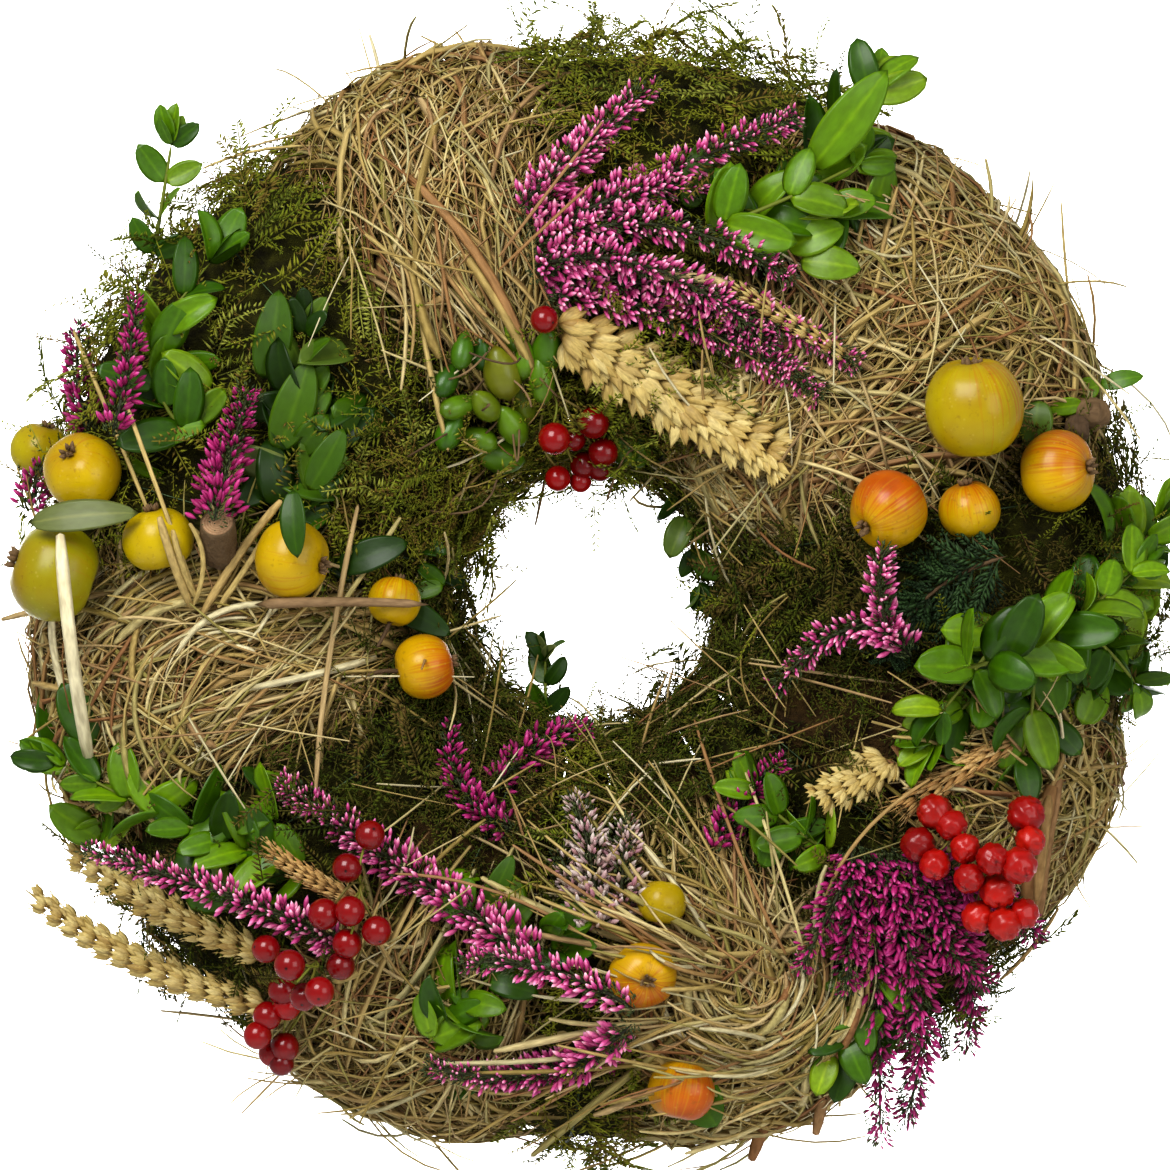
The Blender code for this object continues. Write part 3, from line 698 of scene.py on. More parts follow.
def taper(stations: int, blunt: float = 0.6) -> Array:
    """Relative width of a strand: full in the middle, a little narrower at both ends."""
    t = cut_steps(stations)
    return np.minimum(1.0, blunt + 3 * t) * np.minimum(1.0, blunt + 3 * (1 - t))


def oval(stations: int, power: float = 0.5, peak: float = 0.5) -> Array:
    """Relative width of a leaf or fruit: (4t(1 - t))^power with t bent so that the peak moves."""
    t = np.linspace(0, 1, stations) ** (math.log(0.5) / math.log(peak))
    return np.clip(4 * t * (1 - t), 0, 1) ** power


# ---------------------------------------------------------------- places


def corners(box: tuple) -> Array:
    """The low and the high corner of a box, as rows."""
    return np.array([list(corner) for corner in box])


class Ring:
    """The wreath's form, read from the frame: a rounded ring with a flat back."""

    def __init__(self) -> None:
        """Read the centre, the centre line and the cover's reach."""
        low, high = corners(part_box("straw_base"))
        self.centre = (low + high) / 2
        self.back = high[1]
        self.centre[1] = self.back
        self.line = (high[0] - low[0]) / 2 * CENTRE_LINE_SHARE
        cover_low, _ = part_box("hay_left")
        self.half_width = self.centre[0] - cover_low[0] - self.line
        self.front = self.back - cover_low[1]

    def surface(self, azimuth: Array, section: Array, lift: Array | float = 0.0,
                fullness: Array | float = 1.0) -> Array:
        """Points on the cover.

        The section is a rounded square: out = half_width * cos^p, forward = depth * sin^p about the
        middle depth, turned round the ring's centre by the azimuth.

        Args:
            azimuth: degrees round the wreath.
            section: degrees round the cover's section, 0 outside, 90 in front, 180 in the hole.
            lift: height above the cover.
            fullness: scale of the section.

        Returns:
            Points of the same shape, with a last axis of 3.
        """
        azimuth, section = np.broadcast_arrays(azimuth, section)
        turn = np.radians(section)
        power = 2 / OUTLINE_POWER
        cosine, sine = np.cos(turn), np.sin(turn)
        out = self.half_width * fullness * np.sign(cosine) * np.abs(cosine) ** power
        reach = np.where(sine > 0, (self.front - MIDDLE_DEPTH) * fullness, 0.82 * MIDDLE_DEPTH)
        ahead = MIDDLE_DEPTH + reach * np.sign(sine) * np.abs(sine) ** power
        lift = np.where((cosine < 0) & (np.asarray(lift) > 0), lift * (1 + 0.6 * cosine), lift)
        out = out + lift * cosine
        ahead = ahead + lift * sine
        around = np.radians(azimuth)
        radius = self.line + out
        return np.stack([
            self.centre[0] + radius * np.cos(around),
            self.centre[1] - ahead,
            self.centre[2] + radius * np.sin(around)], -1)

    def behind(self, azimuth: Array, along: Array, lift: Array | float) -> Array:
        """Points on the back of the straw ring.

        The section runs flat on both sides of the middle, turns forward round a quarter circle, then
        goes straight along the ring's side.

        Args:
            azimuth: degrees round the wreath.
            along: distance from the middle of the back, negative towards the hole.
            lift: height above the straw.

        Returns:
            Points of the same shape, with a last axis of 3.
        """
        azimuth, along, lift = np.broadcast_arrays(azimuth, along, lift)
        far = np.abs(along)
        bend = np.clip((far - BACK_FLAT) / BACK_CORNER, 0, math.pi / 2)
        side = np.maximum(far - BACK_FLAT - BACK_CORNER * math.pi / 2, 0)
        out = np.minimum(far, BACK_FLAT) + (BACK_CORNER + lift) * np.sin(bend)
        reach = self.line + np.sign(along) * out
        depth = BACK_CORNER - (BACK_CORNER + lift) * np.cos(bend) + side
        around = np.radians(azimuth)
        return np.stack([
            self.centre[0] + reach * np.cos(around), self.back - depth,
            self.centre[2] + reach * np.sin(around)], -1)

    def normal(self, azimuth: Array, section: Array) -> Array:
        """Outward direction on the cover."""
        turn, around = np.radians(section), np.radians(azimuth)
        return np.stack([np.cos(turn) * np.cos(around), -np.sin(turn), np.cos(turn) * np.sin(around)], -1)

    def face(self, across: Array, up: Array, lift: float | Array = 0.0) -> Array:
        """Points on the front of the cover.

        Args:
            across: millimetres to the right of the centre.
            up: millimetres above the centre.
            lift: height in front of the cover.

        Returns:
            Points with a last axis of 3. Beside the cover they keep to its middle depth.
        """
        across, up = np.asarray(across) * MM, np.asarray(up) * MM
        out = np.clip(np.abs(np.hypot(across, up) - self.line) / self.half_width, 0, 0.97)
        rise = (1 - out ** OUTLINE_POWER) ** (1 / OUTLINE_POWER)
        ahead = MIDDLE_DEPTH + (self.front - MIDDLE_DEPTH) * rise
        return np.stack([self.centre[0] + across, self.back - ahead - lift, self.centre[2] + up], -1)

    def flat(self, points: Array) -> Array:
        """(across, up) in millimetres of points."""
        return (points[..., [0, 2]] - self.centre[[0, 2]]) / MM


RING = Ring()


def cad_points(node: str) -> Array:
    """Corner points of a CAD node at rest."""
    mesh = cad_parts[node].data
    points = np.empty(len(mesh.vertices) * 3, np.float32)
    mesh.vertices.foreach_get("co", points)
    matrix = np.array(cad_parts[node].matrix_world)
    return points.reshape(-1, 3) @ matrix[:3, :3].T + matrix[:3, 3]


def cad_span(node: str) -> Pair:
    """Start and end angle round the wreath of a cover bundle."""
    flat = RING.flat(cad_points(node))
    angle = np.degrees(np.arctan2(flat[:, 1], flat[:, 0])) % 360
    ordered = np.sort(angle)
    gaps = np.diff(np.concatenate([ordered, [ordered[0] + 360]]))
    widest = int(np.argmax(gaps))
    start = ordered[(widest + 1) % len(ordered)]
    return float(start), float(start + 360 - gaps[widest])


def cad_line(node: str, towards: Pair, stations: int = 7) -> Array:
    """Middle line of a long CAD node: the means of its corners in bands along its length.

    Args:
        node: the node's name.
        towards: (across, up) direction in which the tip lies.
        stations: points wanted.

    Returns:
        (stations, 3) points from foot to tip.
    """
    points = cad_points(node)
    middle = points.mean(0)
    axis = np.linalg.svd(points - middle, full_matrices=False)[2][0]
    if axis[0] * towards[0] + axis[2] * towards[1] < 0:
        axis = -axis
    along = (points - middle) @ axis
    grid = np.linspace(along.min(), along.max(), stations)
    reach = (grid[1] - grid[0]) * 0.8
    line = []
    for station in grid:
        weight = np.exp(-((along - station) / reach) ** 2)
        line.append((points * weight[:, None]).sum(0) / weight.sum())
    return np.array(line)


def depth_of(node: str, flat: Array) -> Array:
    """Depth of a CAD node's middle near (across, up) places in millimetres."""
    points = cad_points(node)
    places = RING.flat(points)
    depths = []
    for place in flat:
        near = np.argsort(np.hypot(*(places - place).T))[:10]
        depths.append(points[near, 1].mean())
    return np.array(depths)


def adopt(piece: Object, slot: str, *nodes: str, body: str = BODY) -> Object:
    """Let a piece stand for CAD nodes, if any, and ride on a body."""
    if nodes:
        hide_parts(*nodes)
    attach(piece, body)
    LOG.info("%s: %d faces", piece.name, len(piece.data.polygons))
    return piece


def grow(name: str, parts: list[Soup], plant: Plant, slot: str, node: str = "") -> None:
    """Make one piece of plant parts, which stands for a CAD node if one is named.

    Args:
        name: the piece's name.
        parts: its soups.
        plant: its finish.
        slot: name of a finish slot, which is not used.
        node: the CAD node, if any.
    """
    piece = Soup.join(parts).piece(name, FinishShelf.take(plant))
    adopt(piece, slot, *([node] if node else []))


def dress(node: str, finish: Stuff) -> None:
    """Give a CAD node that stays a finish of its own."""
    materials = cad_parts[node].data.materials
    materials.clear()
    materials.append(FinishShelf.take(finish))


# ---------------------------------------------------------------- cover


@dataclass
class CoverBundle:
    """One bundle of the cover: a bed of its own colour with strands or fronds growing on it."""

    node: str
    seed: int

    def __post_init__(self) -> None:
        """Find the bundle's span and start its own random order."""
        self.start, self.end = cad_span(self.node)
        self.random = np.random.default_rng(self.seed)

    def puff(self, azimuth: Array) -> Array:
        """Fullness across the bundle: pinched where the wire holds its ends."""
        place = np.clip((azimuth - self.start) / (self.end - self.start), 0, 1)
        return 1.0 - 0.10 * np.abs(2 * place - 1) ** 4

    def bed(self, material: Material, slot: str, sink: float) -> Object:
        """Closed bed: the cover's surface over the bundle's span with a noisy height.

        Args:
            material: the bed's finish.
            slot: name of a finish slot, which is not used.
            sink: how far below the strands it lies.

        Returns:
            The bed, which stands for the CAD node.
        """
        rows = max(int((self.end - self.start) / 1.5), 6)
        columns = 56
        azimuth = np.linspace(self.start + 0.1, self.end - 0.1, rows)[:, None]
        section = np.linspace(BACK_EDGE, 180 - BACK_EDGE, columns)[None, :]
        azimuth, section = np.broadcast_arrays(azimuth, section)
        height = self.random.normal(0, 1.0 * MM, azimuth.shape) - sink
        outer = RING.surface(azimuth, section, height, self.puff(azimuth))
        inner = RING.surface(azimuth, section, -12 * MM)
        ring = np.concatenate([outer, inner[:, ::-1]], 1)
        return adopt(grid_block(self.node + "_bed", ring, material), slot, self.node)


def grid_block(name: str, rings: Array, material: Material) -> Object:
    """Closed body skinned over (rings, corners, 3) points, with a fan of faces over each end."""
    rows, columns, _ = rings.shape
    points = np.concatenate([rings.reshape(-1, 3), rings[0].mean(0)[None], rings[-1].mean(0)[None]])
    row = np.arange(rows - 1)[:, None] * columns
    corner = np.arange(columns)
    after = (corner + 1) % columns
    quads = np.stack([row + corner, row + columns + corner, row + columns + after, row + after], -1)
    quads = quads.reshape(-1, 4)
    last = (rows - 1) * columns
    first_hub, last_hub = rows * columns, rows * columns + 1
    triangles = np.concatenate([
        np.stack([np.full(columns, first_hub), corner, after], 1),
        np.stack([np.full(columns, last_hub), last + after, last + corner], 1)])
    return Soup(points, triangles, quads).piece(name, material)


@dataclass
class HayBundle(CoverBundle):
    """Hay bent over the ring: strands that run mostly from outside to inside, with loose ends."""

    lean: float = 0.0
    scatter: float = 34.0
    hay_to: float = 120.0
    moss: Plant = Plant.MOSS_DARK
    density: float = 78.0
    moss_density: float = 36.0
    stations: int = 8

    def build(self) -> None:
        """Make the bed and the strands."""
        self.bed(FinishShelf.take(Stuff.HAY_BED), "hay", 3.5 * MM)
        span = self.end - self.start
        share = (self.hay_to - HAY_FROM) / SECTION_SPAN
        layers = [self.strands(int(self.density * span * share)), self.strays(int(span * 3.4))]
        grow(self.node + "_strands", layers, Plant.HAY, "hay")
        count = int(span * self.moss_density * (1 - share))
        inner = carpet(self, count, (self.hay_to - 6, COVER_TO), (8.0, 19.0))
        grow(self.node + "_moss", inner, self.moss, "moss")

    def strands(self, count: int) -> Soup:
        """Strands that lie on the bundle.

        Each runs on the cover in a heading that turns slightly; it rises in the middle of its
        length and dives at its ends.
        """
        random = self.random
        span = self.end - self.start
        azimuth = self.start + span * random.uniform(-0.02, 1.02, count)
        section = random.uniform(HAY_FROM, self.hay_to, count)
        heading = np.radians(self.lean + random.normal(0, self.scatter, count))
        bend = np.radians(random.normal(0, 17, count))
        length = np.clip(random.lognormal(math.log(46), 0.48, count), 12, 130) * MM
        layer = random.uniform(0, 1, count) ** 1.3
        t = cut_steps(self.stations)[None, :] - 0.5
        way = heading[:, None] + bend[:, None] * t
        step = length[:, None] * np.diff(t, prepend=t[:, :1])
        reach = RING.line + RING.half_width * np.cos(np.radians(section))[:, None]
        d_section = np.degrees(np.cumsum(np.cos(way) * step, 1) / SECTION_REACH)
        d_azimuth = np.degrees(np.cumsum(np.sin(way) * step, 1) / np.maximum(reach, 0.05))
        middle = self.stations // 2
        sections = section[:, None] + d_section - d_section[:, middle:middle + 1]
        azimuths = azimuth[:, None] + d_azimuth - d_azimuth[:, middle:middle + 1]
        over = np.maximum(np.abs(azimuths - (self.start + self.end) / 2) - span * 0.56, 0)
        ends = np.array([BACK_EDGE + 2, min(self.hay_to + 22, 178 - BACK_EDGE)])
        sections = ends[1] - np.abs(ends[1] - np.maximum(sections, ends[0]))
        height = (-2.5 + 7.0 * layer[:, None]) * MM + (1.8 * MM) * (1 - (2 * t) ** 2)
        wave = random.normal(0, 0.6 * MM, (count, 1))
        height = height + wave * np.sin(t * 9 + random.uniform(0, 6, (count, 1)))
        height = height - over * 0.5 * MM
        paths = keep_inside(RING.surface(azimuths, sections, height, self.puff(azimuths)))
        width = np.clip(random.lognormal(math.log(0.5), 0.52, count), 0.2, 1.7) * MM
        # Painted light and shade: strands high in the pile can reach the palest tones, deep ones keep darker
        # tones.
        tones = np.clip(random.uniform(0, 1, count) * 0.7 + 0.3 * layer ** 2, 0, 0.999)
        return carry(paths, width[:, None] * taper(self.stations)[None], tones, sides=3, flat=0.4,
                     up=unit(random.normal(0, 1, (count, 3)) + 1.5 * FORWARD))

    def strays(self, count: int) -> Soup:
        """Loose strands whose tips stand away from the bundle."""
        random = self.random
        azimuth = random.uniform(self.start + 1, self.end - 1, count)
        section = random.uniform(-20, 200, count)
        foot = RING.surface(azimuth, section, -1 * MM, self.puff(azimuth))
        outward = RING.normal(azimuth, section)
        aside = unit(np.cross(outward, random.normal(0, 1, (count, 3))))
        length = random.uniform(18, 52, count)[:, None] * MM
        rise = random.uniform(0.05, 0.38, count)[:, None]
        tip = foot + length * unit(aside + outward * rise)
        middle = (foot + tip) / 2 + outward * length * random.uniform(-0.02, 0.12, count)[:, None]
        paths = keep_inside(sweep(foot, middle, tip, self.stations))
        width = random.uniform(0.22, 0.55, count) * MM
        return carry(paths, width[:, None] * taper(self.stations)[None], random.uniform(0.2, 1, count),
                     sides=3, flat=0.5)


def keep_inside(points: Array) -> Array:
    """Hold points near the CAD box, before the flat back and clear of the hanging ring at rest.

    Args:
        points: places with a last axis of 3.

    Returns:
        The places, each moved by the least that it needs.
    """
    low, high = corners(CAD_BOX)
    room = (high - low) * ROOM_SHARE + ROOM
    highest = high + room
    highest[1] = RING.back + 0.5 * MM
    held = np.clip(points, low - room, highest)
    foot, top = corners(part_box("hanging_ring"))
    centre = (foot + top) / 2
    reach = (top[2] - foot[2]) / 2 + RING_MARGIN
    near = np.hypot(held[..., 0] - centre[0], held[..., 2] - centre[2]) < reach
    held[..., 1] = np.where(near, np.minimum(held[..., 1], foot[1] - RING_GAP), held[..., 1])
    return held


def fronds(foot: Array, heading: Array, outward: Array, length: Array, tones: Array,
           random: Generator, *, leaflets: int = 14, leaf: float = 0.2, width: float = 0.26 * MM,
           spread_angle: float = 50.0) -> list[Soup]:
    """Feathery fronds: a curved stem with two rows of small pointed leaflets.

    Args:
        foot: (fronds, 3) feet.
        heading: (fronds, 3) directions along the ground.
        outward: (fronds, 3) directions away from the ground.
        length: (fronds,) lengths.
        tones: (fronds,) tones.
        random: source of variation.
        leaflets: leaflets of one frond.
        leaf: leaflet length over frond length.
        width: half width of stem and leaflets.
        spread_angle: degrees between stem and leaflets.

    Returns:
        Soups of the stems and of the leaflets.
    """
    count = len(foot)
    length = length[:, None]
    curl = random.uniform(-0.25, 0.35, (count, 1))
    swing = unit(np.cross(heading, outward)) * random.normal(0, 0.18, (count, 1))
    tip = foot + heading * length + outward * length * curl
    middle = (foot + tip) / 2 + (outward * 0.10 + swing) * length
    stations = 5
    paths = sweep(foot, middle, tip, stations)
    stems = carry(paths, np.full((count, stations), width * 0.8) * taper(stations)[None], tones)
    t = np.linspace(0.08, 0.95, leaflets)[None, :, None]
    base, ahead = parabola(foot[:, None], middle[:, None], tip[:, None], t)
    aside = unit(np.cross(ahead, np.broadcast_to(outward[:, None], ahead.shape)))
    way = np.where(np.arange(leaflets) % 2, 1.0, -1.0)[None, :, None]
    angle = np.radians(spread_angle + random.normal(0, 9, (count, leaflets, 1)))
    raised = outward[:, None] * random.normal(0.08, 0.2, (count, leaflets, 1))
    point = ahead * np.cos(angle) + aside * way * np.sin(angle) + raised
    size = leaf * length[:, :, None] * (1.15 - 0.75 * t) * random.uniform(0.7, 1.2, (count, leaflets, 1))
    ends = base + unit(point) * size
    base, ends = base.reshape(-1, 3), ends.reshape(-1, 3)
    line = np.stack([base, base * 0.55 + ends * 0.45, ends], 1)
    leaf_tones = np.clip(np.repeat(tones, leaflets) + random.normal(0, 0.05, count * leaflets), 0, 0.999)
    leaves = carry(line, np.full((len(line), 3), width * 1.25), leaf_tones)
    for part in (stems, leaves):
        part.points = keep_inside(part.points)
    return [stems, leaves]


def carpet(bundle: CoverBundle, count: int, sections: Pair, lengths: Pair) -> list[Soup]:
    """Fronds that lie on a bundle.

    Args:
        bundle: where they grow.
        count: how many.
        sections: span round the cover's section in degrees.
        lengths: shortest and longest frond in millimetres.

    Returns:
        Their stems and leaflets.
    """
    random = bundle.random
    azimuth = random.uniform(bundle.start - 0.5, bundle.end + 0.5, count)
    section = random.uniform(*sections, count)
    layer = random.uniform(0, 1, count)
    foot = RING.surface(azimuth, section, (-3.0 + 4.5 * layer) * MM, bundle.puff(azimuth))
    outward = RING.normal(azimuth, section)
    along = np.cross(outward, random.normal(0, 1, (count, 3)))
    heading = unit(along + outward * random.normal(0.1, 0.2, (count, 1)))
    patch = 0.5 + 0.5 * np.sin(azimuth * 0.35 + bundle.seed) * np.sin(np.radians(section) * 3 + bundle.seed)
    # Painted light and shade: fronds high in the carpet lean to brighter tones and low ones to darker; the
    # patches are the moss's own colour.
    tones = np.clip(0.45 * random.uniform(0, 1, count) + 0.3 * patch + 0.25 * layer, 0, 0.999)
    return fronds(foot, heading, outward, random.uniform(*lengths, count) * MM, tones, random, leaflets=12)


@dataclass
class MossPad(CoverBundle):
    """Moss pressed round the ring: a dark bed under overlapping feathery fronds."""

    plant: Plant = Plant.MOSS
    density: float = 31.0
    fringe: float = 1.0
    rim: Pair = (10.0, 22.0)
    large: float = 2.0
    loose: Plant = Plant.MOSS

    def build(self) -> None:
        """Make the bed, the fronds and the loose tendrils."""
        self.bed(FinishShelf.take(Stuff.MOSS_BED), "moss", 3.0 * MM)
        span = self.end - self.start
        parts = carpet(self, int(self.density * span), (MOSS_FROM, COVER_TO), (8.0, 19.0))
        parts += self.large_fronds(int(span * self.large))
        grow(self.node + "_fronds", parts, self.plant, "moss")
        loose = self.tendrils(int(span * 1.3 * self.fringe))
        grow(self.node + "_tendrils", loose, self.loose, "moss")

    def large_fronds(self, count: int) -> list[Soup]:
        """Long broad fronds that arch over the others."""
        random = self.random
        azimuth = random.uniform(self.start, self.end, count)
        section = random.uniform(-15, 190, count)
        foot = RING.surface(azimuth, section, 0.5 * MM, self.puff(azimuth))
        outward = RING.normal(azimuth, section)
        heading = unit(np.cross(outward, random.normal(0, 1, (count, 3))) + outward * 0.15)
        length = random.uniform(18, 32, count) * MM
        return fronds(foot, heading, outward, length, random.uniform(0.3, 1, count), random, leaflets=30,
                      width=0.36 * MM, spread_angle=58.0)

    def tendrils(self, count: int) -> list[Soup]:
        """Longer fronds that stand out at the rim, in the hole and here and there in front."""
        random = self.random
        azimuth = random.uniform(self.start, self.end, count)
        side = random.uniform(0, 1, count)
        section = np.where(side < 0.5, random.uniform(-30, 55, count), random.uniform(60, 200, count))
        foot = RING.surface(azimuth, section, 0.0, self.puff(azimuth))
        outward = RING.normal(azimuth, section)
        heading = unit(outward * 0.9 + unit(random.normal(0, 1, (count, 3))))
        length = random.uniform(*self.rim, count) * MM
        tones = random.uniform(0, 1, count)
        return fronds(foot, heading, outward, length, tones, random, leaflets=18, leaf=0.17)


@dataclass
class StrawRing:
    """The straw ring at the back: the CAD ring with long straws bound along it."""

    seed: int = 5
    count: int = 1500
    stations: int = 16

    def build(self) -> None:
        """Dress the CAD ring and its wire, and lay straws along its back and sides."""
        dress("straw_base", Stuff.STRAW_BED)
        dress("base_binding_wire", Stuff.FLORIST_WIRE)
        random = np.random.default_rng(self.seed)
        count, stations = self.count, self.stations
        azimuth = random.uniform(0, 360, count)[:, None]
        length = random.uniform(12, 32, count)[:, None]
        t = np.linspace(-0.5, 0.5, stations)[None, :]
        azimuths = azimuth + t * length
        along = random.uniform(-1.03, 1.03, (count, 1)) + random.normal(0, 0.07, (count, 1)) * t * 2
        along = np.clip(along, -1, 1) * BACK_REACH
        phase, slope = self.wire_course()
        turn = 360 / WIRE_TURNS
        off_wire = (azimuths - phase - slope * along + turn / 2) % turn - turn / 2
        lift = random.uniform(-0.2, 0.4, (count, 1)) * MM - 1.7 * MM * np.exp(-(off_wire / 1.3) ** 2)
        paths = RING.behind(azimuths, along, lift)
        middle = along[:, stations // 2]
        bend = np.clip((np.abs(middle) - BACK_FLAT) / BACK_CORNER, 0, math.pi / 2) * np.sign(middle)
        around = np.radians(azimuth[:, 0])
        facing = np.stack([np.sin(bend) * np.cos(around), np.cos(bend), np.sin(bend) * np.sin(around)], 1)
        width = random.uniform(0.6, 1.6, count)[:, None] * MM * taper(stations)[None]
        straws = carry(paths, width, random.uniform(0, 1, count), sides=3, flat=0.35, up=facing)
        grow("straw_ring_straws", [straws], Plant.STRAW, "straw")
        self.cover_wire(random)

    @staticmethod
    def wire_course() -> Pair:
        """Where the binding wire crosses the back.

        Every slope is tried; the one whose crossings fall best into step gives the answer.

        Returns:
            The angle of a crossing at the middle of the back, and its change in degrees a metre outwards.
        """
        points = cad_points("base_binding_wire")
        flat = RING.flat(points[points[:, 1] > RING.back - 3 * MM])
        azimuth = np.degrees(np.arctan2(flat[:, 1], flat[:, 0]))
        out = np.hypot(flat[:, 0], flat[:, 1]) * MM - RING.line
        slopes = np.linspace(-400, 400, 801)
        step = np.exp(1j * np.radians(WIRE_TURNS * (azimuth - slopes[:, None] * out))).mean(1)
        best = int(np.argmax(np.abs(step)))
        return float(np.degrees(np.angle(step[best])) / WIRE_TURNS), float(slopes[best])

    def cover_wire(self, random: Generator) -> None:
        """Thin green wire wound over the whole cover and across the flat back."""
        turns, stations = COVER_WIRE_TURNS, 72
        leaves, returns = ON_THE_BACK
        azimuth = (np.arange(turns) * 360 / turns + 11 + random.uniform(-6, 6, turns))[:, None]
        section = np.linspace(0, 360, stations)[None, :]
        azimuths = azimuth + section / 360 * 10
        behind = np.clip((section - leaves) / (returns - leaves), 0, 1)
        shown = (section <= leaves) | (section >= returns)
        front = RING.surface(azimuths, np.where(shown, section, leaves), 0.5 * MM, 0.985)
        back = RING.behind(azimuths, (2 * behind - 1) * BACK_REACH, 0.5 * MM)
        paths = np.where(shown[..., None], front, back)
        width = np.full((turns, stations), 0.35 * MM)
        wire = carry(paths, width, random.uniform(0, 1, turns), sides=6)
        adopt(wire.piece("cover_wire", FinishShelf.take(Stuff.FLORIST_WIRE)), "binding_wire")


# ---------------------------------------------------------------- plants on the cover


@dataclass(frozen=True)
class Route:
    """A bent way over the front of the wreath, in millimetres across and up from its centre."""

    foot: Pair
    middle: Pair
    tip: Pair
    lifts: Triple = (2.0, 4.0, 5.0)

    def stem(self, node: str = "") -> "Stem":
        """Give the stem along this way, at the depth of a CAD node or on the cover."""
        flat = np.array([self.foot, self.middle, self.tip])
        places = RING.face(flat[:, 0], flat[:, 1], np.array(self.lifts) * MM)
        if node:
            places[:, 1] = depth_of(node, flat)
        return Stem(*places)


@dataclass
class Stem:
    """One bent stem that other parts grow on."""

    foot: Array
    middle: Array
    tip: Array

    @property
    def length(self) -> float:
        """Length of the stem, taken as two straight halves."""
        return float(np.linalg.norm(self.middle - self.foot) + np.linalg.norm(self.tip - self.middle))

    def at(self, t: Array) -> tuple[Array, Array]:
        """Places and directions at shares t of the stem."""
        return parabola(self.foot, self.middle, self.tip, np.asarray(t)[..., None])

    def axes(self, t: Array) -> tuple[Array, Array, Array, Array]:
        """Places with the directions ahead, to the side and to the front."""
        place, ahead = self.at(t)
        side = unit(np.cross(np.broadcast_to(FORWARD, ahead.shape), ahead))
        return place, ahead, side, np.cross(ahead, side)

    def tube(self, radius: float, tone: float, stations: int = 12) -> Soup:
        """The stem itself, a round tapering tube."""
        path = self.at(np.linspace(0, 1, stations))[0][None]
        width = radius * np.linspace(1, 0.6, stations)[None]
        return carry(path, width, np.array([tone]), sides=6)


def shoots(base: Array, heading: Array, length: Array, width: Array, profile: Array,
           tones: Array, *, arch: Array | float = 0.0, up: Array | None = None, sides: int = 5,
           flat: float = 1.0, fold: float | Array = 0.0) -> Soup:
    """Many small parts, each with its own foot and heading and all with one profile.

    The middle line is base + heading * length * t, raised by up * arch * length * 4t(1 - t).

    Args:
        base: (parts, 3) feet.
        heading: (parts, 3) directions.
        length: (parts,) lengths.
        width: (parts,) greatest half widths.
        profile: (stations,) relative width along the part.
        tones: (parts,) tones.
        arch: height of the arch over the length.
        up: (parts, 3) direction that the flat side faces.
        sides: corners of the section.
        flat: thickness over width.
        fold: how far the edges rise.

    Returns:
        The parts.
    """
    t = np.linspace(0, 1, len(profile))[None, :, None]
    lifted = FORWARD if up is None else up[:, None, :]
    bow = np.reshape(np.broadcast_to(arch, len(base)), (-1, 1, 1))
    reach = length[:, None, None]
    paths = base[:, None] + heading[:, None] * reach * t + lifted * bow * reach * 4 * t * (1 - t)
    return carry(paths, width[:, None] * profile[None], tones, sides=sides, flat=flat, fold=fold, up=up)


@dataclass(frozen=True)
class Heather:
    """Sprays of bud heather: dark needled stems set all round with slim closed bells."""

    name: str
    routes: tuple[Route, ...]
    node: str = ""
    plant: Plant = Plant.HEATHER_PINK
    density: float = 3.0
    reach: float = 5.5
    lift: float = 0.35
    seed: int = 1

    def build(self) -> None:
        """Make the bells and the needled stems."""
        random = np.random.default_rng(self.seed)
        stems = [route.stem(self.node) for route in self.routes]
        bells = [self.bells(stem, random) for stem in stems]
        grow(self.name + "_bells", bells, self.plant, "heather", self.node)
        green = [self.needles(stem, random) for stem in stems] + [stem.tube(0.7 * MM, 0.95) for stem in stems]
        grow(self.name + "_needles", green, Plant.NEEDLE, "heather")

    def bells(self, stem: Stem, random: Generator) -> Soup:
        """Bells in loose whorls that stand out from the stem and turn a little upwards."""
        count = int(stem.length / MM * self.density)
        t = np.sort(random.uniform(0.05, 1.0, count))
        place, ahead, side, front = stem.axes(t)
        turn = random.uniform(-0.25 * math.pi, 1.25 * math.pi, count)[:, None]
        radial = side * np.cos(turn) + front * np.sin(turn)
        thin = (1.05 - 0.5 * t ** 2)[:, None]
        base = place + radial * self.reach * MM * thin * random.uniform(0.1, 0.75, (count, 1))
        heading = unit(radial + ahead * 0.45 + UP * self.lift + random.normal(0, 0.22, (count, 3)))
        length = random.uniform(3.4, 5.2, count) * MM * thin[:, 0]
        profile = np.array([0, 0.55, 0.95, 1.0, 0.66, 0])
        return shoots(base, heading, length, length * 0.158, profile, random.uniform(0, 1, count))

    def needles(self, stem: Stem, random: Generator) -> Soup:
        """Short dark needles that fill the space between the bells."""
        count = int(stem.length / MM * 9)
        place, ahead, side, front = stem.axes(random.uniform(0, 1, count))
        turn = random.uniform(0, 2 * math.pi, count)[:, None]
        radial = side * np.cos(turn) + front * np.sin(turn)
        base = place + radial * self.reach * MM * random.uniform(0, 0.6, (count, 1))
        heading = unit(radial * 0.8 + ahead + random.normal(0, 0.25, (count, 3)))
        length = random.uniform(1.4, 3.0, count) * MM
        return shoots(base, heading, length, np.full(count, 0.32 * MM), np.array([0, 1, 0]),
                      random.uniform(0, 0.85, count), sides=3)


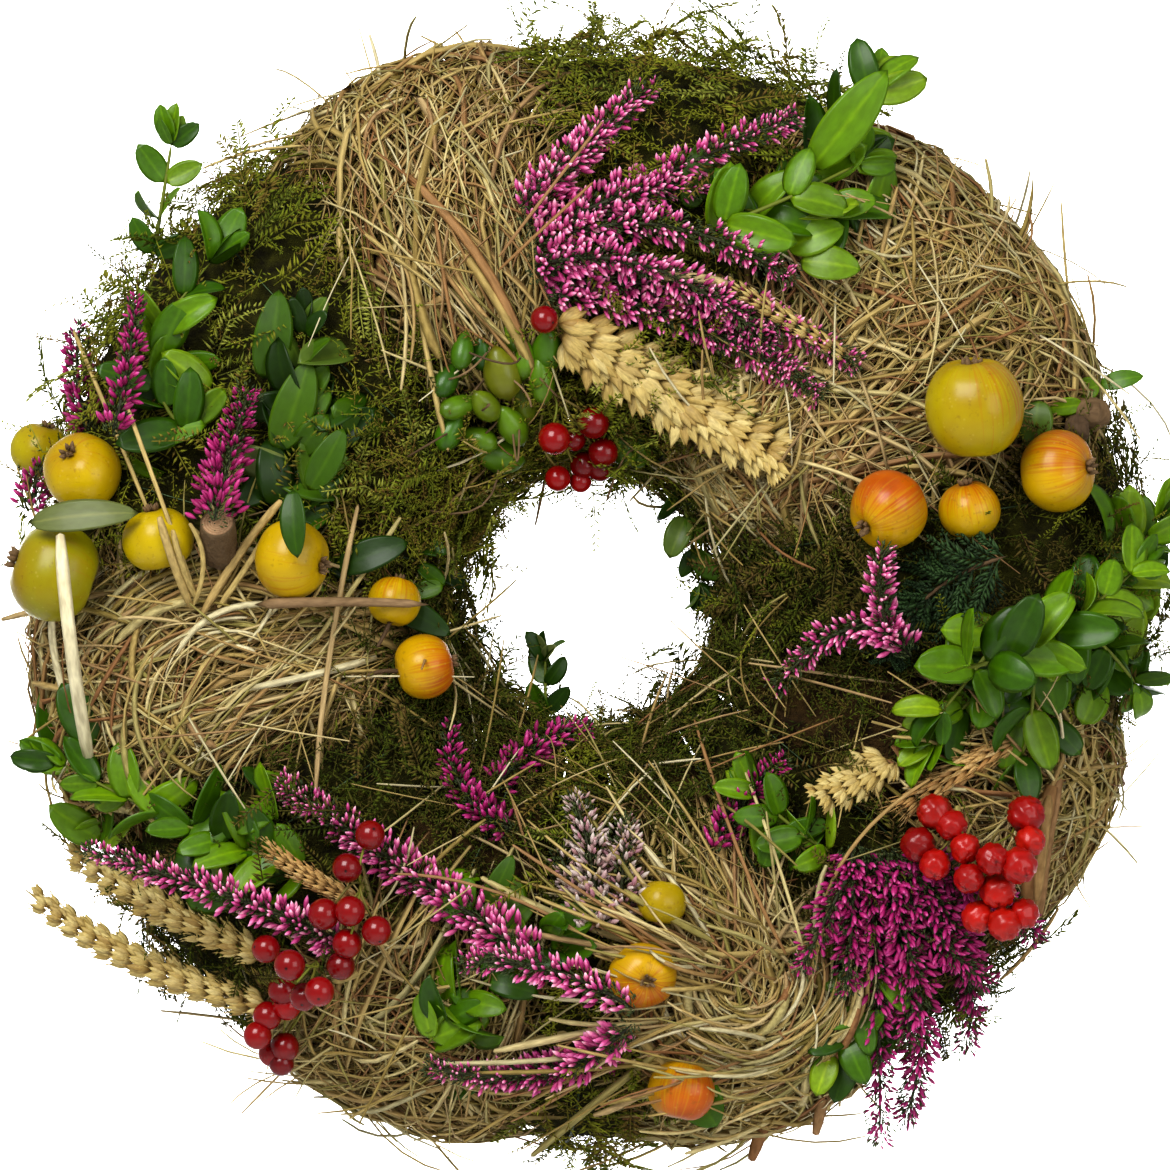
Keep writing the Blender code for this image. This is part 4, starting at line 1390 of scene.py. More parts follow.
@dataclass(frozen=True)
class BoxSprig:
    """Sprigs of box: a green stem with opposite pairs of glossy oval leaves."""

    name: str
    routes: tuple[Route, ...]
    node: str = ""
    pairs: int = 6
    leaf: float = 19.0
    slim: float = 0.27
    crowd: float = 0.9
    plant: Plant = Plant.BOX_LEAF
    seed: int = 1
    fillers: tuple[tuple[float, float, float, int], ...] = ()

    def build(self) -> None:
        """Make the leaves and the stems."""
        random = np.random.default_rng(self.seed)
        stems = [route.stem(self.node) for route in self.routes]
        groups = [self.leaves(stem, random) for stem in stems]
        groups += [self.fill(spot, random) for spot in self.fillers]
        grow(self.name + "_leaves", groups, self.plant, "box_leaf", self.node)
        tubes = [stem.tube(0.75 * MM, 0.1) for stem in stems]
        grow(self.name + "_stems", tubes, Plant.STALK, "box_leaf")

    def leaves(self, stem: Stem, random: Generator) -> Soup:
        """Leaves in pairs that turn about the stem, with a tuft at its tip."""
        place = np.concatenate([np.repeat(np.linspace(0.06, 0.97, self.pairs), 2), [1.0, 1.0, 0.98]])
        way = np.concatenate([np.tile([1.0, -1.0], self.pairs), [0.5, -0.6, 0.1]])
        count = len(place)
        at, ahead, side, front = stem.axes(place)
        roll = random.normal(0, 0.55, count)[:, None]
        lateral = unit(side * way[:, None] * np.cos(roll) + front * np.abs(np.sin(roll)) * self.crowd)
        angle = np.radians(random.normal(52, 13, count) * (1 - 0.3 * place))[:, None]
        strength = np.minimum(np.abs(way), 1)[:, None]
        heading = unit(ahead * np.cos(angle) + lateral * np.sin(angle) * strength)
        return self.blades(at, heading, 1.0 - 0.25 * place ** 3, random)

    def fill(self, spot: tuple[float, float, float, int], random: Generator) -> Soup:
        """Leaves strewn about (across, up) with a given spread, all in millimetres, and their number."""
        across, up, width, count = spot
        places = random.normal(0, width, (count, 2)) + np.array([across, up])
        at = RING.face(places[:, 0], places[:, 1], random.uniform(-1, 5, count) * MM)
        turn = random.uniform(0, 2 * math.pi, count)
        heading = unit(np.stack([np.cos(turn), random.normal(-0.25, 0.3, count), np.sin(turn)], 1))
        return self.blades(at - heading * self.leaf * 0.4 * MM, heading, np.ones(count), random)

    def blades(self, at: Array, heading: Array, size: Array, random: Generator) -> Soup:
        """The leaf blades: folded a little along the rib, arched, and turned roughly to the front."""
        count = len(at)
        face = unit(FORWARD + 0.55 * random.normal(0, 1, (count, 3)) + 0.25 * UP)
        face = square_to(face, heading)
        length = self.leaf * MM * random.uniform(0.72, 1.12, count) * size
        profile = oval(10, 0.62, 0.46)
        return shoots(at, heading, length, length * self.slim * random.uniform(0.85, 1.1, count), profile,
                      random.uniform(0, 1, count), arch=random.normal(0.04, 0.06, count), up=face, sides=8,
                      flat=0.05, fold=random.normal(0.2, 0.26, count))


@dataclass(frozen=True)
class SingleLeaves:
    """Larger leaves that lie by themselves.

    Each leaf is its foot across and up in millimetres, heading in degrees, length, width share,
    tone and height.
    """

    name: str
    leaves: tuple[tuple[float, ...], ...]
    plant: Plant

    def build(self) -> None:
        """Make the leaves as one piece."""
        table = np.array(self.leaves)
        turn = np.radians(table[:, 2])
        foot = RING.face(table[:, 0], table[:, 1], table[:, 6] * MM)
        heading = unit(np.stack([np.cos(turn), np.full(len(table), -0.12), np.sin(turn)], 1))
        face = unit(FORWARD + 0.3 * np.stack([np.sin(turn), np.zeros(len(table)), np.cos(turn)], 1))
        face = square_to(face, heading)
        length = table[:, 3] * MM
        soup = shoots(foot, heading, length, length * table[:, 4], oval(14, 0.7, 0.46), table[:, 5],
                      arch=0.07, up=face, sides=10, flat=0.05, fold=0.22)
        grow(self.name, [soup], self.plant, "box_leaf")


@dataclass(frozen=True)
class Ear:
    """Grain ear: fans of pointed husks in two rows along a stalk, with a third row in front."""

    name: str
    route: Route
    node: str = ""
    fans: int = 11
    husk: float = 9.5
    spread_from: float = 8.0
    spread_to: float = 62.0
    per_fan: int = 6
    width: float = 0.19
    awn: float = 0.0
    plant: Plant = Plant.EAR
    seed: int = 1

    def build(self) -> None:
        """Make the husks, the short beards and the stalk."""
        random = np.random.default_rng(self.seed)
        stem = self.route.stem(self.node)
        parts = [self.row(stem, 1.0, 0.0, random), self.row(stem, -1.0, 0.5, random),
                 self.front(stem, random), stem.tube(1.0 * MM, 0.2)]
        grow(self.name + "_husks", parts, self.plant, "ear", self.node)

    def husks(self, base: Array, heading: Array, face: Array, length: Array,
              random: Generator) -> Soup:
        """Husks: boat-shaped scales that end in a sharp point, some with a beard."""
        profile = np.array([0, 0.55, 0.92, 1.0, 0.86, 0.56, 0.24, 0])
        tones = random.uniform(0, 1, len(base))
        body = shoots(base, heading, length, length * self.width, profile, tones, arch=0.10, up=face, sides=6,
                      flat=0.55, fold=-0.1)
        if not self.awn:
            return body
        tip = base + heading * length[:, None] * 0.92
        beard = shoots(tip, unit(heading + random.normal(0, 0.06, heading.shape)),
                       random.uniform(0.4, 1.0, len(base)) * self.awn * MM, np.full(len(base), 0.2 * MM),
                       np.array([0, 1, 0.7, 0]), tones, sides=3)
        return Soup.join([body, beard])

    def row(self, stem: Stem, way: float, phase: float, random: Generator) -> Soup:
        """One side row: each fan opens from along the stalk to well out to the side."""
        t = np.repeat((np.arange(self.fans) + phase) / self.fans, self.per_fan)
        share = np.tile(np.linspace(0, 1, self.per_fan), self.fans)
        count = len(t)
        place, ahead, side, front = stem.axes(t * 0.94)
        size = 1.0 - 0.45 * t ** 3 - 0.25 * (1 - t) ** 4
        angle = np.radians(self.spread_from + (self.spread_to - self.spread_from) * share
                           + random.normal(0, 3, count))[:, None]
        heading = unit(ahead * np.cos(angle) + side * way * np.sin(angle)
                       + front * (0.45 - 0.35 * share)[:, None])
        base = place + (side * way * 1.2 + front * (1.6 - 0.8 * share)[:, None]) * MM
        face = unit(front + side * way * 0.5)
        length = self.husk * MM * size * random.uniform(0.88, 1.08, count)
        return self.husks(base, heading, face, length, random)

    def front(self, stem: Stem, random: Generator) -> Soup:
        """The row that faces forward."""
        t = np.repeat((np.arange(self.fans) + 0.25) / self.fans, self.per_fan - 1)
        share = np.tile(np.linspace(-1, 1, self.per_fan - 1), self.fans)
        count = len(t)
        place, ahead, side, front = stem.axes(t * 0.92)
        size = 1.0 - 0.45 * t ** 3 - 0.25 * (1 - t) ** 4
        angle = np.radians(share * self.spread_to * 0.55 + random.normal(0, 3, count))[:, None]
        heading = unit(ahead * np.cos(angle) + side * np.sin(angle) + front * 0.38)
        base = place + front * 2.4 * MM + side * share[:, None] * 0.8 * MM
        length = self.husk * 0.95 * MM * size * random.uniform(0.88, 1.08, count)
        return self.husks(base, heading, front, length, random)


def balls(centres: Array, radii: Array, axes: Array, tones: Array, stretch: float = 1.0,
          sides: int = 24, stations: int = 18) -> Soup:
    """Round fruit, each carried along its own axis.

    The middle line runs from -cos to +cos of even angles and the width is their sine, so the
    stations crowd towards both ends as on a globe.

    Args:
        centres: (parts, 3) centres.
        radii: (parts,) radii.
        axes: (parts, 3) directions of the flower end.
        tones: (parts,) tones.
        stretch: length over width.
        sides: corners of the section.
        stations: points along the axis.

    Returns:
        The balls.
    """
    turn = np.linspace(0, math.pi, stations)
    paths = centres[:, None] - axes[:, None] * radii[:, None, None] * stretch * np.cos(turn)[None, :, None]
    return carry(paths, radii[:, None] * np.sin(turn)[None], tones, sides=sides,
                 up=unit(np.cross(axes, np.array([0.31, 0.22, 0.93]))))


@dataclass(frozen=True)
class BerryBunch:
    """Bunch of round berries on thin stalks: (across, up, radius) in millimetres for each."""

    name: str
    berries: tuple[Triple, ...]
    joint: Pair
    node: str = ""
    plant: Plant = Plant.BERRY
    shrivel: float = 0.0
    seed: int = 1

    def build(self) -> None:
        """Make the berries and their stalks."""
        random = np.random.default_rng(self.seed)
        table = np.array(self.berries)
        centres = RING.face(table[:, 0], table[:, 1], 5 * MM)
        if self.node:
            centres[:, 1] = depth_of(self.node, table[:, :2])
        centres[:, 1] -= random.uniform(-1.5, 2.5, len(table)) * MM * (2.0 if self.shrivel else 1.0)
        joint = RING.face(*np.array(self.joint), 4 * MM)
        joint[1] = min(joint[1], centres[:, 1].mean() + 3 * MM)
        away = unit(centres - joint + random.normal(0, 3 * MM, centres.shape))
        axes = unit(away + 0.5 * FORWARD - 0.3 * UP)
        radii = table[:, 2] * MM
        soup = balls(centres, radii, axes, random.uniform(0, 1, len(table)))
        if self.shrivel:
            soup.points = self.wrinkle(soup.points, centres)
        slot = "scarlet" if self.plant is Plant.SCARLET else "berry"
        grow(self.name + "_fruit", [soup], self.plant, slot, self.node)
        ends = centres - axes * radii[:, None] * 0.95
        feet = np.broadcast_to(joint, ends.shape)
        middles = (feet + ends) / 2 + random.normal(0, 2.0 * MM, ends.shape) + 2 * MM * FORWARD
        stalks = carry(sweep(feet, middles, ends, 9), np.full((len(ends), 9), 0.4 * MM),
                       random.uniform(0.3, 0.8, len(ends)), sides=5)
        grow(self.name + "_stalks", [stalks], Plant.STALK, "berry")

    def wrinkle(self, points: Array, centres: Array) -> Array:
        """Draw points towards their berry's centre along creases, where any of three waves is near nought."""
        owner = np.repeat(centres, len(points) // len(centres), axis=0)
        away = points - owner
        place = points / MM
        waves = np.sin(place @ np.array([[1.0, -0.5, 0.7], [0.5, 0.9, -0.6], [0.4, 0.8, 1.1]]) * 0.8 + 1)
        creases = np.exp(-(waves / 0.35) ** 2).sum(1)
        return owner + away * (1 + self.shrivel * (0.4 - creases))[:, None]


@dataclass(frozen=True)
class Apple:
    """Crab apple with a dimple at both ends, dried sepals in one and a stalk in the other."""

    node: str
    flower: Triple
    ripe: float
    blush: float
    red_side: Triple = (0.0, -0.3, 1.0)
    stalk: bool = False
    seed: int = 1
    tall: float = 0.95

    rows = 36
    columns = 48

    def build(self) -> None:
        """Make the fruit, its sepals and its stalk."""
        low, high = corners(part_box(self.node))
        centre, radius = (low + high) / 2, float((high - low).mean() / 2) * 1.03
        axis = unit(np.array(self.flower))
        east = unit(np.cross(axis, np.array([0.21, 0.35, 0.9])))
        north = np.cross(axis, east)
        polar = np.linspace(0, math.pi, self.rows)[:, None]
        around = (2 * math.pi * np.arange(self.columns) / self.columns)[None, :]
        ribs = 0.022 * np.cos(5 * around + self.seed) * np.sin(polar) * (0.3 + 0.7 * polar / math.pi)
        lump = 0.03 * np.sin(2 * around + self.seed * 2.1) * np.sin(polar) ** 2
        dimple = 0.20 * np.exp(-(polar / 0.42) ** 2) + 0.15 * np.exp(-((math.pi - polar) / 0.36) ** 2)
        reach = radius * (1.0 + ribs + lump - dimple)
        circle = east * np.cos(around)[..., None] + north * np.sin(around)[..., None]
        ball = -axis * np.cos(polar)[..., None] * self.tall + circle * np.sin(polar)[..., None]
        points = centre + ball * reach[..., None]
        self.fruit(points, ball, polar, around)
        self.trimmings(centre, radius, axis, east, north)

    def fruit(self, points: Array, ball: Array, polar: Array, around: Array) -> None:
        """The fruit's skin, a globe grid with its colour values stored point by point."""
        rows, columns = points.shape[:2]
        ends = points[0].mean(0)[None], points[-1].mean(0)[None]
        flat = np.concatenate([ends[0], points[1:-1].reshape(-1, 3), ends[1]])

        def trim(values: Array) -> Array:
            """One value for each pole and all of those between."""
            full = np.broadcast_to(values, (rows, columns))
            return np.concatenate([full[0, :1], full[1:-1].ravel(), full[-1, :1]])

        towards = unit(np.array(self.red_side))
        values = {
            "blush": trim(np.clip(0.5 + 0.5 * ball @ towards, 0, 1) * self.blush),
            "ripe": np.full(len(flat), self.ripe),
            "east": trim(np.cos(around) * np.ones_like(polar)),
            "north": trim(np.sin(around) * np.ones_like(polar)),
            "rise": trim(polar / math.pi * np.ones_like(around)),
            "russet": trim((np.exp(-((math.pi - polar) / 0.27) ** 2) + 0.8 * np.exp(-(polar / 0.22) ** 2))
                           * np.ones_like(around)),
        }
        made = Soup(flat, *closed_faces(rows - 2, columns), values=values)
        adopt(made.piece(self.node + "_fruit", FinishShelf.take(Stuff.APPLE)), "apple", self.node)

    def trimmings(self, centre: Array, radius: float, axis: Array, east: Array,
                  north: Array) -> None:
        """Dried sepals in the flower end, and the stalk."""
        random = np.random.default_rng(self.seed)
        turn = (2 * math.pi * np.arange(7) / 7 + random.normal(0, 0.2, 7))[:, None]
        ring = east * np.cos(turn) + north * np.sin(turn)
        base = centre + axis * radius * 0.80 + ring * radius * 0.10
        heading = unit(ring * random.uniform(0.1, 0.9, (7, 1)) + axis)
        sepals = shoots(base, heading, np.full(7, radius * 0.28), np.full(7, radius * 0.07),
                        np.array([0, 1, 0.9, 0.6, 0]), np.full(7, 0.3), sides=5, flat=0.4, arch=0.15)
        parts = [sepals]
        if self.stalk:
            foot = centre - axis * radius * 0.7
            tip = foot - axis * radius * 1.1 + east * radius * 0.3
            parts.append(Stem(foot, (foot + tip) / 2 - north * radius * 0.1, tip).tube(0.8 * MM, 0.6))
        grow(self.node + "_sepals", parts, Plant.TWIG, "twig")


@dataclass(frozen=True)
class Cypress:
    """Flat cypress spray: a brown stem with feathered side shoots."""

    node: str
    route: Route
    shoots: int = 54
    seed: int = 7

    def build(self) -> None:
        """Make the spray."""
        random = np.random.default_rng(self.seed)
        stem = self.route.stem(self.node)
        t = np.linspace(0.02, 1.0, self.shoots)
        place, ahead, side, front = stem.axes(t)
        way = np.where(np.arange(self.shoots) % 2, 1.0, -1.0)[:, None]
        raised = front * random.normal(0.1, 0.25, (self.shoots, 1))
        heading = unit(ahead * 0.75 + side * way * (1 - 0.5 * t[:, None]) + raised)
        length = (19 - 10 * t) * MM * random.uniform(0.7, 1.2, self.shoots)
        parts = fronds(place, heading, front, length, random.uniform(0, 1, self.shoots), random, leaflets=22,
                       leaf=0.28, width=0.42 * MM, spread_angle=40.0)
        grow("cypress_scales", parts, Plant.CYPRESS, "cypress", self.node)
        grow("cypress_stem", [stem.tube(0.8 * MM, 0.5)], Plant.TWIG, "cypress")


@dataclass(frozen=True)
class Pods:
    """Bunch of plump green seed pods with thin reddish tendrils."""

    node: str
    places: tuple[Triple, ...]
    seed: int = 9

    def build(self) -> None:
        """Make the pods and the tendrils."""
        random = np.random.default_rng(self.seed)
        table = np.array(self.places)
        count = len(table)
        centres = RING.face(table[:, 0], table[:, 1], random.uniform(1, 9, count) * MM)
        turn = np.radians(table[:, 2])
        heading = unit(np.stack([np.cos(turn), random.normal(-0.2, 0.3, count), np.sin(turn)], 1))
        length = random.uniform(12, 19, count) * MM
        base = centres - heading * length[:, None] / 2
        pods = shoots(base, heading, length, length * random.uniform(0.25, 0.34, count), oval(9, 0.85, 0.42),
                      random.uniform(0, 1, count), sides=10, flat=0.75, fold=-0.25)
        grow("pod_bunch", [pods], Plant.POD, "pod", self.node)
        ends = centres + random.normal(0, 9 * MM, centres.shape)
        ends[:, 1] = centres[:, 1] - 2 * MM
        middles = (centres + ends) / 2 + random.normal(0, 4 * MM, centres.shape) + 3 * MM * FORWARD
        lines = carry(sweep(centres, middles, ends, 9), np.full((count, 9), 0.35 * MM),
                      random.uniform(0, 1, count), sides=5)
        grow("pod_tendrils", [lines], Plant.TWIG, "pod")


class Woodwork:
    """Sawn branch stub, bare twig, strip of bark and dry nut."""

    def build(self) -> None:
        """Make each piece of wood."""
        random = np.random.default_rng(17)
        self.stub()
        line = cad_line("brown_twig", (1, 0), 9)
        twig = carry(line[None], np.linspace(1.7, 1.2, 9)[None] * MM, np.array([0.97]), sides=8)
        grow("bare_twig", [twig], Plant.TWIG, "twig", "brown_twig")
        feet = RING.face(np.array([139, 142, 144, 141]), np.array([-62, -58, -56, -60]), 8 * MM)
        tips = RING.face(np.array([133, 135, 138, 137]), np.array([-104, -101, -99, -94]), 22 * MM)
        middles = (feet + tips) / 2 + random.normal(0, 1.5 * MM, feet.shape)
        widths = np.array([2.4, 3.0, 2.2, 1.6])[:, None] * MM * taper(9)[None]
        tones = np.array([0.5, 0.55, 0.6, 0.52])
        bark = carry(sweep(feet, middles, tips, 9), widths, tones, sides=6, flat=0.3)
        grow("bark_strip", [bark], Plant.HAY, "twig")
        nut = balls(RING.face(np.array([155, 150]), np.array([56, 51]), 6 * MM), np.array([5.5, 4.5]) * MM,
                    unit(np.array([[0.2, -1, 0.3], [1, -0.5, 0.2]])), np.array([0.2, 0.7]), 0.85)
        place = nut.points / MM
        nut.points += unit(np.sin(place * 1.7)) * 0.5 * MM
        grow("dry_nut", [nut], Plant.TWIG, "twig")

    def stub(self) -> None:
        """Branch stub: rough bark side with a flat pale cut that faces up and forward."""
        low, high = corners(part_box("branch_stub"))
        middle = (low + high) / 2
        foot = np.array([middle[0], high[1] - 2 * MM, middle[2] - 7 * MM])
        tip = np.array([middle[0] - 0.5 * MM, low[1], middle[2] + 3 * MM])
        axis = unit(tip - foot)
        east = unit(np.cross(axis, UP))
        north = np.cross(east, axis)
        columns = 36
        around = 2 * math.pi * np.arange(columns) / columns
        rings = []
        reaches = []
        spots = [(0.0, 1.0), (0.25, 1.03), (0.5, 1.0), (0.75, 1.02), (0.93, 1.0), (1.0, 0.97), (1.0, 0.90),
                 (1.005, 0.6), (1.005, 0.3)]
        for index, (share, width) in enumerate(spots):
            rough = 1 + 0.04 * np.sin(around * 7 + index * 1.3) + 0.03 * np.sin(around * 11 - index)
            radius = 5.4 * MM * width * (rough if share < 1 else 1 + 0.02 * np.sin(around * 3))
            circle = east * np.cos(around)[:, None] + north * np.sin(around)[:, None]
            rings.append(foot + (tip - foot) * share + circle * np.broadcast_to(radius, columns)[:, None])
            reaches.append(np.full(columns, width if share >= 1 else 1.0))
        body = grid_block("sawn_stub", np.array(rings), FinishShelf.take(Stuff.SAWN_WOOD))
        values = np.concatenate([np.concatenate(reaches), [1.0, 0.0]])
        stored = body.data.attributes.new("reach", "FLOAT", "POINT")
        stored.data.foreach_set("value", values.astype(np.float32))
        adopt(body, "wood", "branch_stub")


def hoop(name: str, centre: Array, radius: float, wire: float, material: Material) -> Object:
    """Closed wire ring that faces forward.

    Each point is centre + (radius + wire * cos b) * (cos a, sin a) in the ring's plane, plus
    wire * sin b across it.

    Args:
        name: the object's name.
        centre: (3,) middle of the ring.
        radius: reach of the wire's middle line.
        wire: half thickness of the wire.
        material: its finish.

    Returns:
        The ring.
    """
    steps, sides = HOOP_STEPS
    turn = 2 * math.pi * np.arange(steps) / steps
    tube = 2 * math.pi * np.arange(sides) / sides
    reach = radius + wire * np.cos(tube)[None, :]
    points = np.stack([
        reach * np.cos(turn)[:, None], np.broadcast_to(wire * np.sin(tube)[None, :], (steps, sides)),
        reach * np.sin(turn)[:, None]], -1) + centre
    index = np.arange(steps * sides).reshape(steps, sides)
    ahead, side = np.roll(index, -1, 0), np.roll(index, -1, 1)
    quads = np.stack([index, ahead, np.roll(ahead, -1, 1), side], -1).reshape(-1, 4)
    return Soup(points.reshape(-1, 3), np.zeros((0, 3), int), quads).piece(name, material)


class Hanger:
    """Steel ring that the wreath hangs by, and the eye pin that holds it."""

    def build(self) -> None:
        """Dress the CAD pin, and make a smooth ring in place of the CAD ring."""
        dress("hanger_eye_pin", Stuff.STEEL)
        low, high = corners(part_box("hanging_ring"))
        wire = (high[1] - low[1]) / 2
        radius = (high[2] - low[2]) / 2 - wire
        ring = hoop("wire_ring", (low + high) / 2, radius, wire, FinishShelf.take(Stuff.STEEL))
        adopt(ring, "steel", "hanging_ring", body=RING_BODY)


@dataclass(frozen=True)
class StrawFan:
    """Long straws that spread from one spot over their neighbours, all in millimetres and degrees."""

    centre: Pair
    headings: Pair
    lengths: Pair
    count: int
    width: float = 0.5
    lift: float = 0.0

    def soup(self, random: Generator) -> Soup:
        """Straws whose feet dip into the cover and whose tips stand a little off it."""
        turn = np.radians(random.uniform(*self.headings, self.count))
        length = random.uniform(*self.lengths, self.count)
        feet = np.array(self.centre) + random.normal(0, 9, (self.count, 2))
        tips = feet + length[:, None] * np.stack([np.cos(turn), np.sin(turn)], 1)
        middles = (feet + tips) / 2 + random.normal(0, 2.5, feet.shape)
        lifts = random.uniform(0, 1, (3, self.count))
        lines = [RING.face(spot[:, 0], spot[:, 1], height) for spot, height in (
            (feet, (-1 + 3 * lifts[0]) * MM), (middles, (4 + self.lift + 5 * lifts[1]) * MM),
            (tips, (3 + self.lift + 8 * lifts[2]) * MM))]
        widths = np.clip(random.lognormal(math.log(self.width), 0.45, self.count), 0.25, 1.6)[:, None] * MM
        tones = random.uniform(0.2, 1, self.count)
        return carry(keep_inside(sweep(*lines, 10)), widths * taper(10)[None], tones, sides=4, flat=0.4)


@dataclass(frozen=True)
class StrawNest:
    """Straws curled round one spot where the hay was wound, in millimetres and degrees."""

    centre: Pair
    radii: Pair
    angles: Pair
    count: int
    lift: float = 5.0

    def soup(self, random: Generator) -> Soup:
        """Arcs about the spot that drift a little in or out and tuck their ends into the cover."""
        shape = (self.count, 1)
        t = np.linspace(-0.5, 0.5, 12)[None, :]
        angle = np.radians(random.uniform(*self.angles, shape) + t * random.uniform(25, 95, shape))
        reach = random.uniform(*self.radii, shape) * (1 + random.normal(0, 0.22, shape) * t)
        height = (random.uniform(0, self.lift, shape) + 2 - 8 * t ** 2) * MM
        across, up = self.centre
        paths = RING.face(across + reach * np.cos(angle), up + reach * np.sin(angle), height)
        widths = np.clip(random.lognormal(math.log(0.5), 0.45, shape), 0.25, 1.5) * MM * taper(12)[None]
        return carry(keep_inside(paths), widths, random.uniform(0.15, 1, self.count), sides=4, flat=0.4)


class LooseStraws:
    """Single straws and blades that lie over the other pieces.

    Each straw is its way (a route's values), its half width in millimetres and its tone.
    """

    def __init__(self, straws: tuple[tuple, ...], fans: tuple[StrawFan | StrawNest, ...]) -> None:
        """Keep the lists."""
        self.straws = straws
        self.fans = fans

    def build(self) -> None:
        """Make the straws as one piece."""
        stems = [Route(*way).stem() for way, _, _ in self.straws]
        paths = np.array([stem.at(cut_steps(12))[0] for stem in stems])
        widths = np.array([width for _, width, _ in self.straws])[:, None] * MM * taper(12)[None]
        tones = np.array([tone for _, _, tone in self.straws])
        soup = carry(paths, widths, tones, sides=6, flat=0.4)
        random = np.random.default_rng(41)
        soups = [soup] + [fan.soup(random) for fan in self.fans]
        grow("loose_straws", soups, Plant.HAY, "hay")


# ---------------------------------------------------------------- studio


@dataclass(frozen=True)
class Studio:
    """Camera, lights and a plain pale backdrop."""

    span: float = 363 * MM
    focal: float = 240.0
    sensor: float = 36.0
    aim: Pair = (-1.6 * MM, 3.1 * MM)
    plane_ahead: float = 62 * MM
    gamma: float = 0.88
    exposure: float = 0.15
    half_width: float = 6.0
    cove: float = 0.8
    surround: float = 0.37

    def build(self) -> None:
        """Set up the view."""
        self.camera()
        self.backdrop()
        self.lights()

    def camera(self) -> None:
        """Long lens, square to the wreath, that takes in its whole width."""
        data = bpy.data.cameras.new("camera")
        data.lens = self.focal
        data.sensor_width = self.sensor
        distance = self.span * self.focal / self.sensor
        camera = bpy.data.objects.new("camera", data)
        camera.location = (
            RING.centre[0] + self.aim[0], RING.back - self.plane_ahead - distance,
            RING.centre[2] + self.aim[1])
        camera.rotation_euler = (math.radians(90), 0, 0)
        bpy.context.collection.objects.link(camera)
        bpy.context.scene.camera = camera
        bpy.context.scene.view_settings.view_transform = "Standard"
        bpy.context.scene.view_settings.gamma = self.gamma
        bpy.context.scene.view_settings.exposure = self.exposure

    def backdrop(self) -> None:
        """Floor and wall in one pale sheet with a round cove, far behind the wreath."""
        turn = np.radians(np.arange(0, 91, 10))
        cove = np.stack([4.0 + self.cove * np.sin(turn), -0.3 - self.cove * np.cos(turn)], 1)
        line = np.concatenate([[[-6.0, -1.1]], cove, [[4.8, 3.0]]])
        sides = np.array([-self.half_width, self.half_width])
        points = np.stack([
            np.broadcast_to(sides[None], (len(line), 2)), np.broadcast_to(line[:, :1], (len(line), 2)),
            np.broadcast_to(line[:, 1:], (len(line), 2))], -1).reshape(-1, 3)
        row = np.arange(len(line) - 1) * 2
        faces = np.stack([row, row + 1, row + 3, row + 2], 1)
        mesh = bpy.data.meshes.new("backdrop")
        mesh.from_pydata(points.tolist(), [], faces.tolist())
        mesh.shade_smooth()
        nodes = Nodes("pale_floor")
        mesh.materials.append(nodes.finish((0.9, 0.9, 0.9, 1), roughness=0.9))
        sheet = bpy.data.objects.new("backdrop", mesh)
        bpy.context.collection.objects.link(sheet)

    def lights(self) -> None:
        """Large soft light from the upper left, a weaker one from the right, and a lit backdrop."""
        self.area("key", (-0.6, -1.3, 0.75), 0.9, 24.5)
        self.area("fill", (1.0, -1.3, 0.0), 1.0, 7.5)
        self.area("back_wash_left", (-1.5, 3.4, 0.6), 0.8, 95.0, (-0.3, 4.8, -0.15))
        self.area("back_wash_right", (1.5, 3.4, 0.6), 0.8, 95.0, (0.3, 4.8, -0.15))
        world = bpy.data.worlds.new("studio")
        world.use_nodes = True
        world.node_tree.nodes["Background"].inputs["Color"].default_value = (1, 1, 1, 1)
        world.node_tree.nodes["Background"].inputs["Strength"].default_value = self.surround
        bpy.context.scene.world = world

    def area(self, name: str, place: tuple, size: float, power: float, target: tuple | None = None) -> None:
        """Add one soft square light that looks at a target, the wreath if none is given."""
        data = bpy.data.lights.new(name, "AREA")
        data.size = size
        data.energy = power
        light = bpy.data.objects.new(name, data)
        light.location = place
        goal = Vector(target) if target else Vector(RING.centre)
        light.rotation_euler = (goal - light.location).to_track_quat("-Z", "Y").to_euler()
        bpy.context.collection.objects.link(light)


HAY = (
    HayBundle("hay_top_left", 11, 12.0, 34.0, 116.0, Plant.MOSS),
    HayBundle("hay_top_right", 12, 0.0, 50.0, 160.0),
    HayBundle("hay_left", 13, -8.0, 34.0, 122.0),
    HayBundle("hay_bottom_left", 14, 0.0, 44.0, 84.0),
    HayBundle("hay_bottom", 15, 24.0, 40.0, 108.0),
    HayBundle("hay_right_low", 16, -10.0, 40.0, 76.0),
)
MOSS = (
    MossPad("moss_top", 21, density=29.0, rim=(12.0, 27.0), fringe=2.0, large=4.2),
    MossPad("moss_upper_left", 22, density=24.0, fringe=1.3, large=2.2),
    MossPad("moss_lower_left", 23, Plant.MOSS_DARK, loose=Plant.MOSS_DARK),
    MossPad("moss_bottom", 24),
    MossPad("moss_lower_right", 25, Plant.MOSS_DARK, loose=Plant.MOSS_DARK),
    MossPad("moss_right", 26, Plant.MOSS_DARK, fringe=2.0),
)

